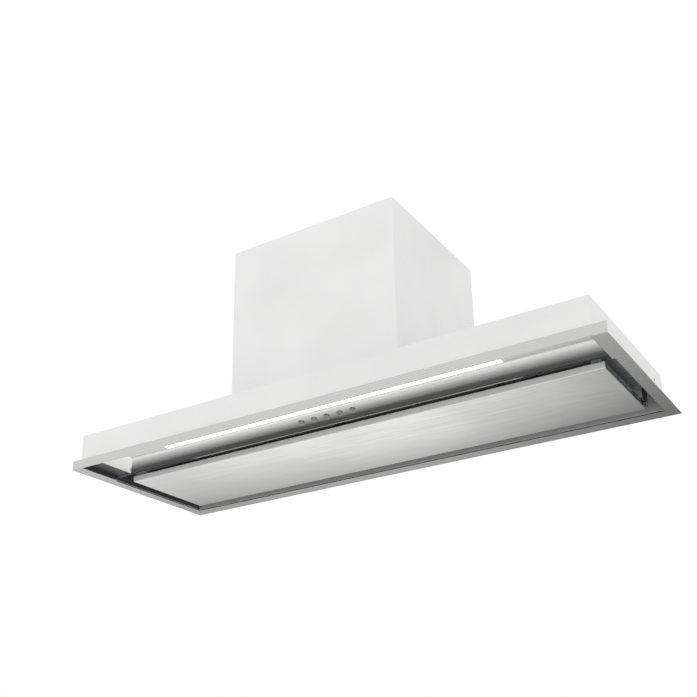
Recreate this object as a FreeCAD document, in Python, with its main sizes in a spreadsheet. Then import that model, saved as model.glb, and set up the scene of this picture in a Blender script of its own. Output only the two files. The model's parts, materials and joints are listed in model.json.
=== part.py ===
import FreeCAD, Part
import math
import os
import re
import Sketcher
from FreeCAD import Placement, Rotation, Vector

# A built-in range hood with a perimeter suction panel, in millimetres. X runs to the right as the cook
# sees it, Y to the wall and Z up. The origin is the middle of the underside of the flange frame.

SIZES = {
    # Flange frame under the cabinet
    "hood_width": 898,
    "hood_depth": 320,
    "side_flange": 16.5,
    "rear_flange": 21.8,
    "frame_sheet": 1.2,
    "collar_height": 14,
    "front_lip": 15,
    "ledge_width": 3.5,
    # Low body inside the cabinet
    "body_top": 56,
    "body_sheet": 1,
    "body_lift": 2,
    "cabinet_hole_r": 2.25,
    "cabinet_hole_gap": 200,
    "cabinet_hole_z": 36,
    "wire_hole_r": 7,
    # Light cove at the front, with its lamp and buttons
    "cove_depth": 80,
    "cove_end": 53,
    "cove_height": 20.5,
    "cove_run": 27,
    "cove_sheet": 1,
    "lip_top": 6,
    "lip_low": 5,
    "bracket_lift": 3,
    "bracket_sheet": 1.2,
    "bracket_flange": 14,
    "bracket_gap": 4.5,
    "bracket_lap": 24,
    "end_gap": 5,
    "lamp_end": 78,
    "lamp_width": 20,
    "lamp_back_gap": 1,
    "lamp_play": 0.2,
    "diffuser_brim": 1.3,
    "diffuser_brim_height": 1.2,
    "lamp_channel_wall": 1.5,
    "lamp_channel_height": 9,
    "lamp_board_width": 14,
    "lamp_board_sheet": 1.6,
    "button_run": 17.5,
    "button_pitch": 22.5,
    "button_r": 5,
    "button_play": 0.25,
    "button_proud": 1.2,
    "button_travel": 0.8,
    "button_brim": 1.2,
    "button_brim_height": 1,
    "button_brim_gap": 0.4,
    "button_edge": 0.5,
    "stem_r": 2,
    "stem_play": 0.3,
    "stop_gap": 0.1,
    "carrier_sheet": 1,
    "carrier_depth": 10,
    "carrier_margin": 12,
    "carrier_leg": 5,
    "switch_size": 6,
    "switch_height": 2,
    "plunger_r": 1.7,
    "plunger_height": 0.5,
    "board_sheet": 1.2,
    # Suction panel with its hinge and catches
    "slot_front": 19,
    "slot_side": 19.3,
    "slot_rear": 21,
    "panel_flare": 1.8,
    "panel_height": 8.5,
    "panel_sheet": 1,
    "panel_edge": 0.8,
    "panel_lift": 0.4,
    "stiffener_width": 60,
    "stiffener_flange": 15,
    "stiffener_height": 5.5,
    "stiffener_end": 25,
    "hinge_in": 8,
    "hinge_up": 5,
    "pin_r": 2.5,
    "pin_play": 0.08,
    "pin_head_r": 3.6,
    "pin_head": 1.5,
    "ear_gap": 1,
    "ear_sheet": 2,
    "ear_r": 4.6,
    "ear_width": 18,
    "ear_foot": 12,
    "catch_in": 11.5,
    "prong_pitch": 10,
    "prong_width": 4.5,
    "prong_sheet": 1.2,
    "prong_rise": 6,
    "catch_play": 0.45,
    "catch_reach": 4,
    "catch_foot": 12,
    # Grease filters and the deck that carries them
    "filter_clear": 7.8,
    "filter_lead": 2,
    "filter_tail": 6,
    "filter_side": 20,
    "filter_height": 9,
    "filter_gap": 4,
    "filter_rim": 16,
    "filter_play": 0.3,
    "mesh_height": 6,
    "mesh_groove": 1.2,
    "mesh_pitch": 12,
    "deck_sheet": 1,
    "deck_wall_low": 5.5,
    "deck_flange": 12,
    "deck_lap": 8,
    "rail_sheet": 1,
    "rail_gap": 3,
    "rail_foot": 10,
    "rail_lip": 6,
    "latch_width": 44,
    "latch_depth": 4.8,
    "latch_height": 4,
    "latch_travel": 5,
    "latch_play": 0.3,
    "bolt_width": 18,
    "bolt_height": 2.6,
    "bolt_past": 1.5,
    "latch_tab": 2.5,
    "latch_tab_width": 16,
    "latch_tab_depth": 2,
    # Motor housing
    "housing_width": 292,
    "housing_depth": 262,
    "housing_top": 318,
    "housing_sheet": 1,
    "housing_foot": 12,
    "throat_margin": 16,
    "door_border": 18,
    "door_sill": 24,
    "cover_lap": 11,
    "cover_emboss": 2,
    "cover_emboss_in": 24,
    "screw_r": 2,
    "screw_play": 0.15,
    "screw_head_r": 3.6,
    "screw_head": 2,
    "screw_tail": 3,
    "foot_screw_gap": 180,
    # Outlet collar with its two back-draught flaps
    "outlet_r": 75,
    "outlet_wall": 2.5,
    "outlet_height": 28,
    "outlet_flange_r": 88,
    "outlet_flange": 3,
    "outlet_ledge": 4,
    "outlet_ledge_sheet": 2,
    "outlet_ledge_top": 12,
    "flap_sheet": 1.6,
    "flap_gap": 0.3,
    "flap_play": 1.2,
    "flap_hinge_gap": 5.5,
    "axle_r": 1.5,
    "axle_play": 0.06,
    "knuckle_r": 3,
    "knuckle_length": 14,
    "knuckle_inner_x": 24,
    "knuckle_outer_x": 44,
    # Fan
    "scroll_wall": 2,
    "scroll_width": 140,
    "scroll_front_gap": 4,
    "scroll_lift": 12,
    "tongue_gap": 8,
    "tongue_in": 3,
    "spiral_step": 10,
    "inlet_r": 60,
    "inlet_ring": 10,
    "inlet_ring_height": 4,
    "outlet_seal": 2,
    "scroll_flange": 8,
    "impeller_r": 76,
    "impeller_width": 130,
    "impeller_disc": 2,
    "blade_depth": 14,
    "blade_sheet": 1.4,
    "blade_lean": 8,
    "blade_curve_r": 13,
    "ring_depth": 8,
    "ring_width": 3,
    "hub_r": 11,
    "hub_width": 26,
    "shaft_r": 4,
    "shaft_play": 0.05,
    "shaft_tail": 28,
    "motor_r": 42,
    "motor_start": 17,
    "motor_length": 72,
    "motor_shoulder": 8,
    "motor_boss_r": 9,
    "motor_boss": 4,
    "spider_sheet": 3,
    "spider_ring": 5,
    "spider_arm": 14,
    "spider_play": 0.1,
    "capacitor_r": 15,
    "capacitor_length": 62,
    "capacitor_low": 60,
    "capacitor_y": 50,
    "clip_sheet": 1.2,
    "clip_height": 16,
    "clip_width": 26,
    # Electric boxes on top of the low body
    "box_length": 124,
    "box_depth": 92,
    "box_height": 34,
    "box_wall": 2,
    "box_side_gap": 60,
    "box_front": 12,
    "box_edge": 4,
    "box_lid": 2.5,
    "box_lid_lip": 3,
    "box_lid_play": 0.2,
    "power_board_in": 6,
    "power_board_lift": 4,
    "power_board_sheet": 1.6,
    "transformer_size": 34,
    "transformer_height": 20,
    "relay_size": 16,
    "gland_bore_r": 4.5,
    "gland_thread_r": 7.5,
    "gland_nut_r": 11,
    "gland_nut": 6,
    "gland_dome": 12,
    "gland_play": 0.15,
    "driver_length": 150,
    "driver_depth": 42,
    "driver_height": 28,
    "driver_edge": 3,
    "driver_ear": 14,
    "driver_ear_sheet": 2.5,
    "driver_ear_hole_r": 2.2,
}

# Places worked out from the sizes, each written once
PLACES = {
    "half_width": "hood_width / 2",
    "front": "-hood_depth / 2",
    "rear": "hood_depth / 2",
    "collar_x": "half_width - side_flange",
    "shell_x": "collar_x - frame_sheet",
    "inner_x": "shell_x - body_sheet",
    "shell_front": "front + frame_sheet",
    "inner_front": "shell_front + body_sheet",
    "collar_rear": "rear - rear_flange",
    "shell_rear": "collar_rear - frame_sheet",
    "inner_rear": "shell_rear - body_sheet",
    "inner_top": "body_top - body_sheet",
    "cove_x": "half_width - cove_end",
    "cove_rear": "front + cove_depth",
    "ceiling_x": "cove_x - cove_run",
    "cove_stop": "inner_x - end_gap - cove_sheet",
    "ceiling_rear": "cove_rear - cove_run",
    "ceiling_top": "cove_height + cove_sheet",
    "cove_drop": "cove_height - lip_top",
    "bend_r": "(cove_run ^ 2 + cove_drop ^ 2) / (2 * cove_drop)",
    "bend_z": "cove_height - bend_r",
    "lip_back": "cove_rear + cove_sheet",
    "lip_back_top": "bend_z + sqrt((bend_r + cove_sheet) ^ 2 - (cove_run + cove_sheet) ^ 2)",
    "bracket_low": "lip_low + bracket_lift",
    "bracket_in": "ceiling_x + sqrt((bend_r + cove_sheet) ^ 2 - (bracket_low - bend_z) ^ 2) + stop_gap",
    "lamp_x": "ceiling_x - lamp_end",
    "lamp_rear": "ceiling_rear - lamp_back_gap",
    "lamp_front": "lamp_rear - lamp_width",
    "channel_x": "lamp_x + diffuser_brim + lamp_play + lamp_channel_wall",
    "channel_front": "lamp_front - diffuser_brim - lamp_play - lamp_channel_wall",
    "channel_rear": "lamp_rear + diffuser_brim + lamp_play + lamp_channel_wall",
    "lamp_board_top": "ceiling_top + lamp_channel_height - lamp_channel_wall",
    "lamp_board_y": "(lamp_front + lamp_rear) / 2",
    "row_y": "ceiling_rear + button_run",
    "row_z": "bend_z + sqrt(bend_r ^ 2 - button_run ^ 2)",
    "row_tilt": "asin(button_run / bend_r)",
    "brim_low": "cove_sheet + button_brim_gap",
    "brim_top": "brim_low + button_brim_height",
    "carrier_low": "brim_top + button_travel + stop_gap",
    "carrier_top": "carrier_low + carrier_sheet",
    "stem_top": "carrier_top + stop_gap",
    "plunger_low": "stem_top + button_travel + stop_gap",
    "switch_low": "plunger_low + plunger_height",
    "board_low": "switch_low + switch_height",
    "carrier_x": "2 * button_pitch + carrier_margin",
    "panel_x": "inner_x - slot_side",
    "panel_front": "lip_back + slot_front",
    "panel_rear": "inner_rear - slot_rear",
    "panel_floor": "panel_lift + panel_sheet",
    "panel_top": "panel_lift + panel_height",
    "hinge_y": "panel_rear - hinge_in",
    "hinge_z": "panel_lift + hinge_up",
    "ear_x": "panel_x + ear_gap",
    "catch_x": "panel_x - catch_in",
    "panel_in": "panel_front + panel_sheet + panel_flare * (1 - panel_sheet / panel_height)",
    "prong_front": "panel_in",
    "prong_top": "panel_top + prong_rise",
    "filter_front": "panel_front - filter_lead",
    "filter_rear": "panel_rear - filter_tail",
    "filter_depth": "filter_rear - filter_front",
    "filter_low": "panel_top + filter_clear",
    "rail_x": "panel_x - filter_side",
    "filter_width": "(2 * rail_x - 2 * filter_gap) / 3",
    "filter_pitch": "filter_width + filter_gap",
    "deck_low": "filter_low + filter_height + filter_play",
    "deck_top": "deck_low + deck_sheet",
    "rail_web": "filter_front - rail_gap",
    "bolt_tip": "rail_web - rail_sheet - bolt_past",
    "latch_front": "filter_front + 2 * latch_play + rail_sheet",
    "bolt_low": "filter_low + latch_play + rail_sheet",
    "housing_x": "housing_width / 2",
    "housing_y": "housing_depth / 2",
    "housing_in_x": "housing_x - housing_sheet",
    "housing_in_y": "housing_y - housing_sheet",
    "ceiling": "housing_top - housing_sheet",
    "door_x": "housing_x - door_border",
    "door_low": "body_top + door_sill",
    "door_top": "housing_top - door_border",
    "cover_screw_x": "door_x + cover_lap / 2",
    "cover_screw_low": "door_low - cover_lap / 2",
    "cover_screw_top": "door_top + cover_lap / 2",
    "foot_screw_x": "housing_x + housing_foot / 2",
    "foot_screw_y": "housing_y + housing_foot / 2",
    "screw_hole_r": "screw_r + screw_play",
    "spiral_top": "impeller_r + tongue_gap",
    "spiral_left": "spiral_top + spiral_step",
    "spiral_low": "spiral_left + spiral_step",
    "spiral_right": "spiral_low + spiral_step",
    "fan_y": "scroll_front_gap + scroll_wall + spiral_left - housing_in_y",
    "fan_z": "body_top + scroll_lift + scroll_wall + spiral_low",
    "fan_reach": "ceiling - outlet_seal - fan_z",
    "scroll_x": "scroll_width / 2",
    "scroll_side": "scroll_x + scroll_wall",
    "duct_y": "fan_y + (tongue_in + spiral_right) / 2",
    "collar_screw_at": "(outlet_r + outlet_flange_r) / 2 * sqrt(0.5)",
    "bore_r": "outlet_r - outlet_wall",
    "axle_lift": "outlet_ledge_top + flap_gap + flap_sheet / 2",
    "flap_r": "bore_r - flap_play",
    "blade_in": "impeller_r - blade_depth",
    "blade_out": "impeller_r - blade_sheet / 2",
    "spider_low": "scroll_side + inlet_ring_height",
    "motor_end": "motor_start + motor_length",
    "capacitor_x": "-(housing_in_x - clip_sheet - capacitor_r)",
    "box_right": "-(housing_x + box_side_gap)",
    "box_left": "box_right - box_length",
    "box_rear": "box_front + box_depth",
    "box_rim": "body_top + box_height",
    "box_mid_y": "(box_front + box_rear) / 2",
    "gland_z": "body_top + box_height / 2",
    "driver_left": "housing_x + box_side_gap",
    "driver_mid": "driver_left + driver_length / 2",
}

BUTTON_COUNT = 5
FILTER_NAMES = ("left", "centre", "right")
BLADE_COUNT = 30
SPIDER_ARMS = 3

doc = FreeCAD.newDocument("RangeHood")
sheet = doc.addObject("Spreadsheet::Sheet", "Sizes")
for row, (alias, number) in enumerate(SIZES.items(), start=1):
    sheet.set(f"A{row}", alias)
    sheet.set(f"B{row}", str(number))
    sheet.setAlias(f"B{row}", alias)
doc.recompute()

sub_parts = []


def formula(text):
    """The text with each place written out and each size as a cell of the sheet."""

    def cell(match):
        name = match.group(0)
        if name in PLACES:
            return "(" + formula(PLACES[name]) + ")"
        return "Sizes." + name if name in SIZES else name

    return re.sub(r"[a-z]\w*", cell, text)


def value(text):
    """The number that a formula gives now."""
    found = sheet.evalExpression(formula(text))
    return float(getattr(found, "Value", found))


def keep(part, label):
    """Name a finished sub-part and list it for writing."""
    part.Label = label
    sub_parts.append(part)
    return part


def new_body(label):
    return keep(doc.addObject("PartDesign::Body", label), label)


def new_sketch(part, plane, offset="0"):
    """A sketch on one of the part's own origin planes, moved along that plane's normal."""
    sketch = part.newObject("Sketcher::SketchObject", part.Label + "_sketch")
    role = plane + "_Plane"
    support = next(item for item in part.Origin.OriginFeatures if item.Role == role)
    sketch.AttachmentSupport = [(support, "")]
    sketch.MapMode = "FlatFace"
    sketch.setExpression("AttachmentOffset.Base.z", formula(offset))
    return sketch


def fix(sketch, constraint, text):
    """Add a constraint whose size follows a formula."""
    index = sketch.addConstraint(constraint)
    sketch.setExpression(f"Constraints[{index}]", formula(text))


def arc_between(begin, end, radius, turn):
    """The arc from begin to end that turns left (1) or right (-1), with its first and last vertex."""
    chord = end - begin
    reach = math.sqrt(max(radius ** 2 - (chord.Length / 2) ** 2, 0))
    to_left = Vector(-chord.y, chord.x, 0).normalize()
    centre = (begin + end) / 2 + to_left * (turn * reach)
    first, last = (begin, end) if turn > 0 else (end, begin)
    start_angle = math.atan2(first.y - centre.y, first.x - centre.x)
    end_angle = math.atan2(last.y - centre.y, last.x - centre.x)
    if end_angle <= start_angle:
        end_angle += 2 * math.pi
    circle = Part.Circle(centre, Vector(0, 0, 1), radius)
    vertices = (1, 2) if turn > 0 else (2, 1)
    return Part.ArcOfCircle(circle, start_angle, end_angle), vertices


def outline(sketch, *corners):
    """A closed outline. A corner (x, y) is reached by a line, (x, y, radius, turn) by an arc."""
    places = [Vector(value(corner[0]), value(corner[1]), 0) for corner in corners]
    edges = []
    for index, corner in enumerate(corners):
        begin, end = places[index - 1], places[index]
        if len(corner) == 2:
            edges.append((sketch.addGeometry(Part.LineSegment(begin, end)), 1, 2))
            continue
        arc, vertices = arc_between(begin, end, value(corner[2]), corner[3])
        edges.append((sketch.addGeometry(arc), *vertices))
    for index, (edge, first, last) in enumerate(edges):
        following, joined, _ = edges[(index + 1) % len(edges)]
        sketch.addConstraint(Sketcher.Constraint("Coincident", edge, last, following, joined))
        corner = corners[index]
        fix(sketch, Sketcher.Constraint("DistanceX", edge, last, places[index].x), corner[0])
        fix(sketch, Sketcher.Constraint("DistanceY", edge, last, places[index].y), corner[1])
        if len(corner) == 4:
            fix(sketch, Sketcher.Constraint("Radius", edge, value(corner[2])), corner[2])


def rectangle(sketch, left, right, low, high):
    outline(sketch, (left, low), (right, low), (right, high), (left, high))


def circle(sketch, x, y, radius):
    centre = Vector(value(x), value(y), 0)
    edge = sketch.addGeometry(Part.Circle(centre, Vector(0, 0, 1), value(radius)))
    fix(sketch, Sketcher.Constraint("DistanceX", edge, 3, centre.x), x)
    fix(sketch, Sketcher.Constraint("DistanceY", edge, 3, centre.y), y)
    fix(sketch, Sketcher.Constraint("Radius", edge, value(radius)), radius)


def pad(part, sketch, length, symmetric=False, back=False):
    """Fill a sketch's outline along its normal, or back from it."""
    feature = part.newObject("PartDesign::Pad", part.Label + "_pad")
    feature.Profile = sketch
    feature.setExpression("Length", formula(length))
    feature.Midplane = symmetric
    feature.Reversed = back
    doc.recompute()
    return feature


def pocket(part, sketch, length, symmetric=False, along=False):
    """Cut a sketch's outline away against its normal, or along it, and make sure that it cuts."""
    before = part.Shape.Volume
    feature = part.newObject("PartDesign::Pocket", part.Label + "_pocket")
    feature.Profile = sketch
    feature.setExpression("Length", formula(length))
    feature.Midplane = symmetric
    feature.Reversed = along
    doc.recompute()
    if part.Shape.Volume >= before:
        raise RuntimeError(f"a pocket of {part.Label} cuts nothing")
    return feature


def revolve(part, sketch, axis):
    feature = part.newObject("PartDesign::Revolution", part.Label + "_turn")
    feature.Profile = sketch
    feature.ReferenceAxis = (sketch, [axis])
    feature.Angle = 360
    doc.recompute()
    return feature


def polar(part, feature, sketch, count):
    """Repeat a feature round its sketch's normal."""
    pattern = part.newObject("PartDesign::PolarPattern", part.Label + "_round")
    pattern.Originals = [feature]
    pattern.Axis = (sketch, ["N_Axis"])
    pattern.Angle = 360
    pattern.Occurrences = count
    part.Tip = pattern
    doc.recompute()


def round_edges(part, radius, wanted):
    """Round the edges that a test picks out."""
    base = part.Tip
    names = [f"Edge{n}" for n, edge in enumerate(base.Shape.Edges, start=1) if wanted(edge)]
    feature = part.newObject("PartDesign::Fillet", part.Label + "_round_edges")
    feature.Base = (base, names)
    feature.setExpression("Radius", formula(radius))
    doc.recompute()


def upright(edge):
    return edge.BoundBox.ZLength > 0 and edge.BoundBox.XLength + edge.BoundBox.YLength < 1e-6


def place(part, x="0", y="0", z="0"):
    for axis, text in zip("xyz", (x, y, z)):
        part.setExpression("Placement.Base." + axis, formula(text))


def lean(part, x="0"):
    """Set a part that is made flat, with its top face away from the cook, on the slope of the cove."""
    part.Placement = Placement(Vector(), Rotation(Vector(-1, 0, 0), 1))
    part.setExpression("Placement.Rotation.Angle", formula("row_tilt"))
    place(part, x, "row_y", "row_z")


def make_trim_frame():
    part = new_body("trim_frame")
    flange = new_sketch(part, "XY")
    rectangle(flange, "-half_width", "half_width", "front", "rear")
    rectangle(flange, "-shell_x", "shell_x", "shell_front", "shell_rear")
    pad(part, flange, "frame_sheet")
    collar = new_sketch(part, "XY")
    rectangle(collar, "-collar_x", "collar_x", "front", "collar_rear")
    rectangle(collar, "-shell_x", "shell_x", "shell_front", "shell_rear")
    pad(part, collar, "collar_height")
    lip = new_sketch(part, "XY")
    rectangle(lip, "-half_width", "half_width", "front", "shell_front")
    pad(part, lip, "front_lip")
    ledges = new_sketch(part, "XY")
    rectangle(ledges, "-shell_x", "ledge_width - shell_x", "shell_front", "cove_rear")
    rectangle(ledges, "shell_x - ledge_width", "shell_x", "shell_front", "cove_rear")
    pad(part, ledges, "frame_sheet")


def make_body_shell():
    part = new_body("body_shell")
    block = new_sketch(part, "XY", "body_lift")
    rectangle(block, "-shell_x", "shell_x", "shell_front", "shell_rear")
    pad(part, block, "body_top - body_lift")
    hollow = new_sketch(part, "XY", "body_lift")
    rectangle(hollow, "-inner_x", "inner_x", "inner_front", "inner_rear")
    pocket(part, hollow, "inner_top - body_lift", along=True)
    throat = new_sketch(part, "XY", "body_top")
    rectangle(
        throat,
        "throat_margin - housing_x", "housing_x - throat_margin",
        "throat_margin - housing_y", "housing_y - throat_margin",
    )
    for x, y in foot_screw_places():
        circle(throat, x, y, "screw_hole_r")
    circle(throat, "box_right - 2 * wire_hole_r - box_wall", "box_mid_y", "wire_hole_r")
    pocket(part, throat, "body_sheet")
    cabinet_holes = new_sketch(part, "YZ")
    for side in ("-", ""):
        circle(cabinet_holes, f"{side}cabinet_hole_gap / 2", "cabinet_hole_z", "cabinet_hole_r")
    pocket(part, cabinet_holes, "hood_width", symmetric=True)


def foot_screw_places():
    """The screws of the motor housing's foot, two at the front and two on each side."""
    places = []
    for side in ("-", ""):
        places.append((f"{side}foot_screw_gap / 2", "-foot_screw_y"))
        for along in ("-", ""):
            places.append((f"{side}foot_screw_x", f"{along}foot_screw_gap / 2"))
    return places


def make_light_cove():
    """A pressed ceiling that curves down to a hem at its rear and left end, with a flat right end."""
    part = new_body("light_cove")
    path = new_sketch(part, "XY")
    bend_path(path)
    section = new_sketch(part, "XZ", "-inner_front")
    outline(
        section,
        ("-cove_x", "lip_low"),
        ("-cove_x", "lip_top"),
        ("-ceiling_x", "cove_height", "bend_r", -1),
        ("-ceiling_x", "ceiling_top"),
        ("-cove_x - cove_sheet", "lip_back_top", "bend_r + cove_sheet", 1),
        ("-cove_x - cove_sheet", "lip_low"),
    )
    bend = part.newObject("PartDesign::AdditivePipe", "light_cove_bend")
    bend.Profile = section
    bend.Spine = (path, ["Edge1", "Edge2"])
    bend.Transition = "Right corner"
    doc.recompute()
    ceiling = new_sketch(part, "XY", "cove_height")
    rectangle(ceiling, "-ceiling_x", "cove_stop", "inner_front", "ceiling_rear")
    pad(part, ceiling, "cove_sheet")
    end = new_sketch(part, "YZ", "cove_stop")
    outline(
        end,
        ("inner_front", "lip_low"),
        ("lip_back", "lip_low"),
        ("lip_back", "lip_back_top"),
        ("ceiling_rear", "ceiling_top", "bend_r + cove_sheet", 1),
        ("inner_front", "ceiling_top"),
    )
    pad(part, end, "cove_sheet")
    lamp_slot = new_sketch(part, "XY", "ceiling_top")
    rectangle(lamp_slot, "-lamp_x", "lamp_x", "lamp_front", "lamp_rear")
    pocket(part, lamp_slot, "cove_sheet")
    holes = new_sketch(part, "XY")
    holes.AttachmentOffset = Placement(Vector(), Rotation(Vector(-1, 0, 0), 1))
    holes.setExpression("AttachmentOffset.Rotation.Angle", formula("row_tilt"))
    holes.setExpression("AttachmentOffset.Base.y", formula("row_y"))
    holes.setExpression("AttachmentOffset.Base.z", formula("row_z"))
    for index in range(BUTTON_COUNT):
        circle(holes, button_x(index), "0", "button_r + button_play")
    pocket(part, holes, "4 * cove_sheet + 2 * button_proud", symmetric=True)


def bend_path(sketch):
    """The open line that the cove's bend follows: left end, then the rear to the right end."""
    corners = [
        ("-cove_x", "inner_front"),
        ("-cove_x", "cove_rear"),
        ("cove_stop", "cove_rear"),
    ]
    places = [Vector(value(x), value(y), 0) for x, y in corners]
    for begin, end in zip(places, places[1:]):
        sketch.addGeometry(Part.LineSegment(begin, end))
    sketch.addConstraint(Sketcher.Constraint("Coincident", 0, 2, 1, 1))
    vertices = [(0, 1), (1, 1), (1, 2)]
    for (edge, vertex), (x, y) in zip(vertices, corners):
        fix(sketch, Sketcher.Constraint("DistanceX", edge, vertex, value(x)), x)
        fix(sketch, Sketcher.Constraint("DistanceY", edge, vertex, value(y)), y)


def button_x(index):
    return f"{index - BUTTON_COUNT // 2} * button_pitch"


def make_cove_brackets():
    """A folded bracket under the cove's curved end, and an angle on top of its flat end."""
    left = new_body("cove_bracket_left")
    under = new_sketch(left, "XZ", "-inner_front - bracket_gap")
    outline(
        under,
        ("-bracket_in", "bracket_low"),
        ("-inner_x", "bracket_low"),
        ("-inner_x", "bracket_low + bracket_flange"),
        ("bracket_sheet - inner_x", "bracket_low + bracket_flange"),
        ("bracket_sheet - inner_x", "bracket_low + bracket_sheet"),
        ("-bracket_in", "bracket_low + bracket_sheet"),
    )
    pad(left, under, "cove_rear - inner_front - bracket_gap", back=True)
    right = new_body("cove_bracket_right")
    over = new_sketch(right, "XZ", "-inner_front - bracket_gap")
    outline(
        over,
        ("cove_stop - bracket_lap", "ceiling_top"),
        ("inner_x", "ceiling_top"),
        ("inner_x", "ceiling_top + bracket_flange"),
        ("inner_x - bracket_sheet", "ceiling_top + bracket_flange"),
        ("inner_x - bracket_sheet", "ceiling_top + bracket_sheet"),
        ("cove_stop - bracket_lap", "ceiling_top + bracket_sheet"),
    )
    pad(right, over, "ceiling_rear - inner_front - bracket_gap", back=True)


def make_lamp():
    diffuser = new_body("lamp_diffuser")
    window = new_sketch(diffuser, "XY", "cove_height")
    rectangle(
        window,
        "lamp_play - lamp_x", "lamp_x - lamp_play",
        "lamp_front + lamp_play", "lamp_rear - lamp_play",
    )
    pad(diffuser, window, "cove_sheet")
    brim = new_sketch(diffuser, "XY", "ceiling_top")
    rectangle(
        brim,
        "-lamp_x - diffuser_brim", "lamp_x + diffuser_brim",
        "lamp_front - diffuser_brim", "lamp_rear + diffuser_brim",
    )
    pad(diffuser, brim, "diffuser_brim_height")

    channel = new_body("lamp_channel")
    block = new_sketch(channel, "XY", "ceiling_top")
    rectangle(block, "-channel_x", "channel_x", "channel_front", "channel_rear")
    pad(channel, block, "lamp_channel_height")
    hollow = new_sketch(channel, "XY", "ceiling_top")
    rectangle(
        hollow,
        "lamp_channel_wall - channel_x", "channel_x - lamp_channel_wall",
        "channel_front + lamp_channel_wall", "channel_rear - lamp_channel_wall",
    )
    pocket(channel, hollow, "lamp_channel_height - lamp_channel_wall", along=True)

    board = new_body("lamp_board")
    strip = new_sketch(board, "XY", "lamp_board_top - lamp_board_sheet")
    rectangle(
        strip,
        "lamp_play - lamp_x", "lamp_x - lamp_play",
        "lamp_board_y - lamp_board_width / 2", "lamp_board_y + lamp_board_width / 2",
    )
    pad(board, strip, "lamp_board_sheet")


def make_button(index):
    """A round cap with a brim that keeps it behind the sheet and a stem that works the switch."""
    part = new_body(f"button_{index + 1}")
    section = new_sketch(part, "XZ")
    outline(
        section,
        ("0", "-button_proud"),
        ("button_r - button_edge", "-button_proud"),
        ("button_r", "button_edge - button_proud", "button_edge", 1),
        ("button_r", "brim_low"),
        ("button_r + button_brim", "brim_low"),
        ("button_r + button_brim", "brim_top"),
        ("stem_r", "brim_top"),
        ("stem_r", "stem_top"),
        ("0", "stem_top"),
    )
    revolve(part, section, "V_Axis")
    lean(part, button_x(index))


def make_controls():
    carrier = new_body("control_carrier")
    plate = new_sketch(carrier, "XY", "carrier_low")
    rectangle(plate, "-carrier_x", "carrier_x", "-carrier_depth / 2", "carrier_depth / 2")
    pad(carrier, plate, "carrier_sheet")
    legs = new_sketch(carrier, "XY", "cove_sheet + stop_gap")
    for side in ("-", ""):
        inner = f"{side}(carrier_x - carrier_leg)"
        rectangle(legs, inner, f"{side}carrier_x", "-carrier_depth / 2", "carrier_depth / 2")
    pad(carrier, legs, "board_low - cove_sheet - stop_gap")
    guides = new_sketch(carrier, "XY", "carrier_top")
    for index in range(BUTTON_COUNT):
        circle(guides, button_x(index), "0", "stem_r + stem_play")
    pocket(carrier, guides, "carrier_sheet")
    lean(carrier)

    board = new_body("control_board")
    plate = new_sketch(board, "XY", "board_low")
    rectangle(plate, "-carrier_x", "carrier_x", "-carrier_depth / 2", "carrier_depth / 2")
    pad(board, plate, "board_sheet")
    lean(board)

    switches = []
    size, tall = value("switch_size"), value("switch_height")
    for index in range(BUTTON_COUNT):
        x = value(button_x(index))
        case = Part.makeBox(size, size, tall, Vector(x - size / 2, -size / 2, value("switch_low")))
        low = Vector(x, 0, value("plunger_low"))
        switches.append(case.fuse(Part.makeCylinder(value("plunger_r"), value("plunger_height"), low)))
    group = keep(doc.addObject("Part::Feature", "control_switches"), "control_switches")
    group.Shape = Part.makeCompound(switches)
    lean(group)


def make_suction_panel():
    """A tray of sheet whose front edge leans out a little as it turns up."""
    part = new_body("suction_panel")
    block = new_sketch(part, "YZ")
    outline(
        block,
        ("panel_front + panel_flare", "panel_lift"),
        ("panel_rear", "panel_lift"),
        ("panel_rear", "panel_top"),
        ("panel_front", "panel_top"),
    )
    pad(part, block, "2 * panel_x", symmetric=True)
    low = value("panel_lift")
    tall = value("panel_height / 2")

    def outer(edge):
        return edge.BoundBox.ZLength > tall or edge.BoundBox.ZMax < low + 1e-6

    round_edges(part, "panel_edge", outer)
    hollow = new_sketch(part, "YZ")
    outline(
        hollow,
        ("panel_in", "panel_floor"),
        ("panel_rear - panel_sheet", "panel_floor"),
        ("panel_rear - panel_sheet", "panel_top"),
        ("panel_front + panel_sheet", "panel_top"),
    )
    pocket(part, hollow, "2 * panel_x - 2 * panel_sheet", symmetric=True)
    pin_holes = new_sketch(part, "YZ")
    circle(pin_holes, "hinge_y", "hinge_z", "pin_r + pin_play")
    pocket(part, pin_holes, "hood_width", symmetric=True)


def make_panel_stiffener():
    """A hat channel on the panel's floor, along its middle."""
    part = new_body("panel_stiffener")
    section = new_sketch(part, "YZ")
    half = "stiffener_width / 2"
    web = f"{half} - stiffener_flange"
    outline(
        section,
        (f"-({half})", "0"),
        (f"-({web})", "0"),
        (f"-({web})", "stiffener_height - panel_sheet"),
        (web, "stiffener_height - panel_sheet"),
        (web, "0"),
        (half, "0"),
        (half, "panel_sheet"),
        (f"{web} + panel_sheet", "panel_sheet"),
        (f"{web} + panel_sheet", "stiffener_height"),
        (f"-({web}) - panel_sheet", "stiffener_height"),
        (f"-({web}) - panel_sheet", "panel_sheet"),
        (f"-({half})", "panel_sheet"),
    )
    pad(part, section, "2 * panel_x - 2 * stiffener_end", symmetric=True)
    place(part, y="(panel_front + panel_rear) / 2", z="panel_floor")


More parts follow.
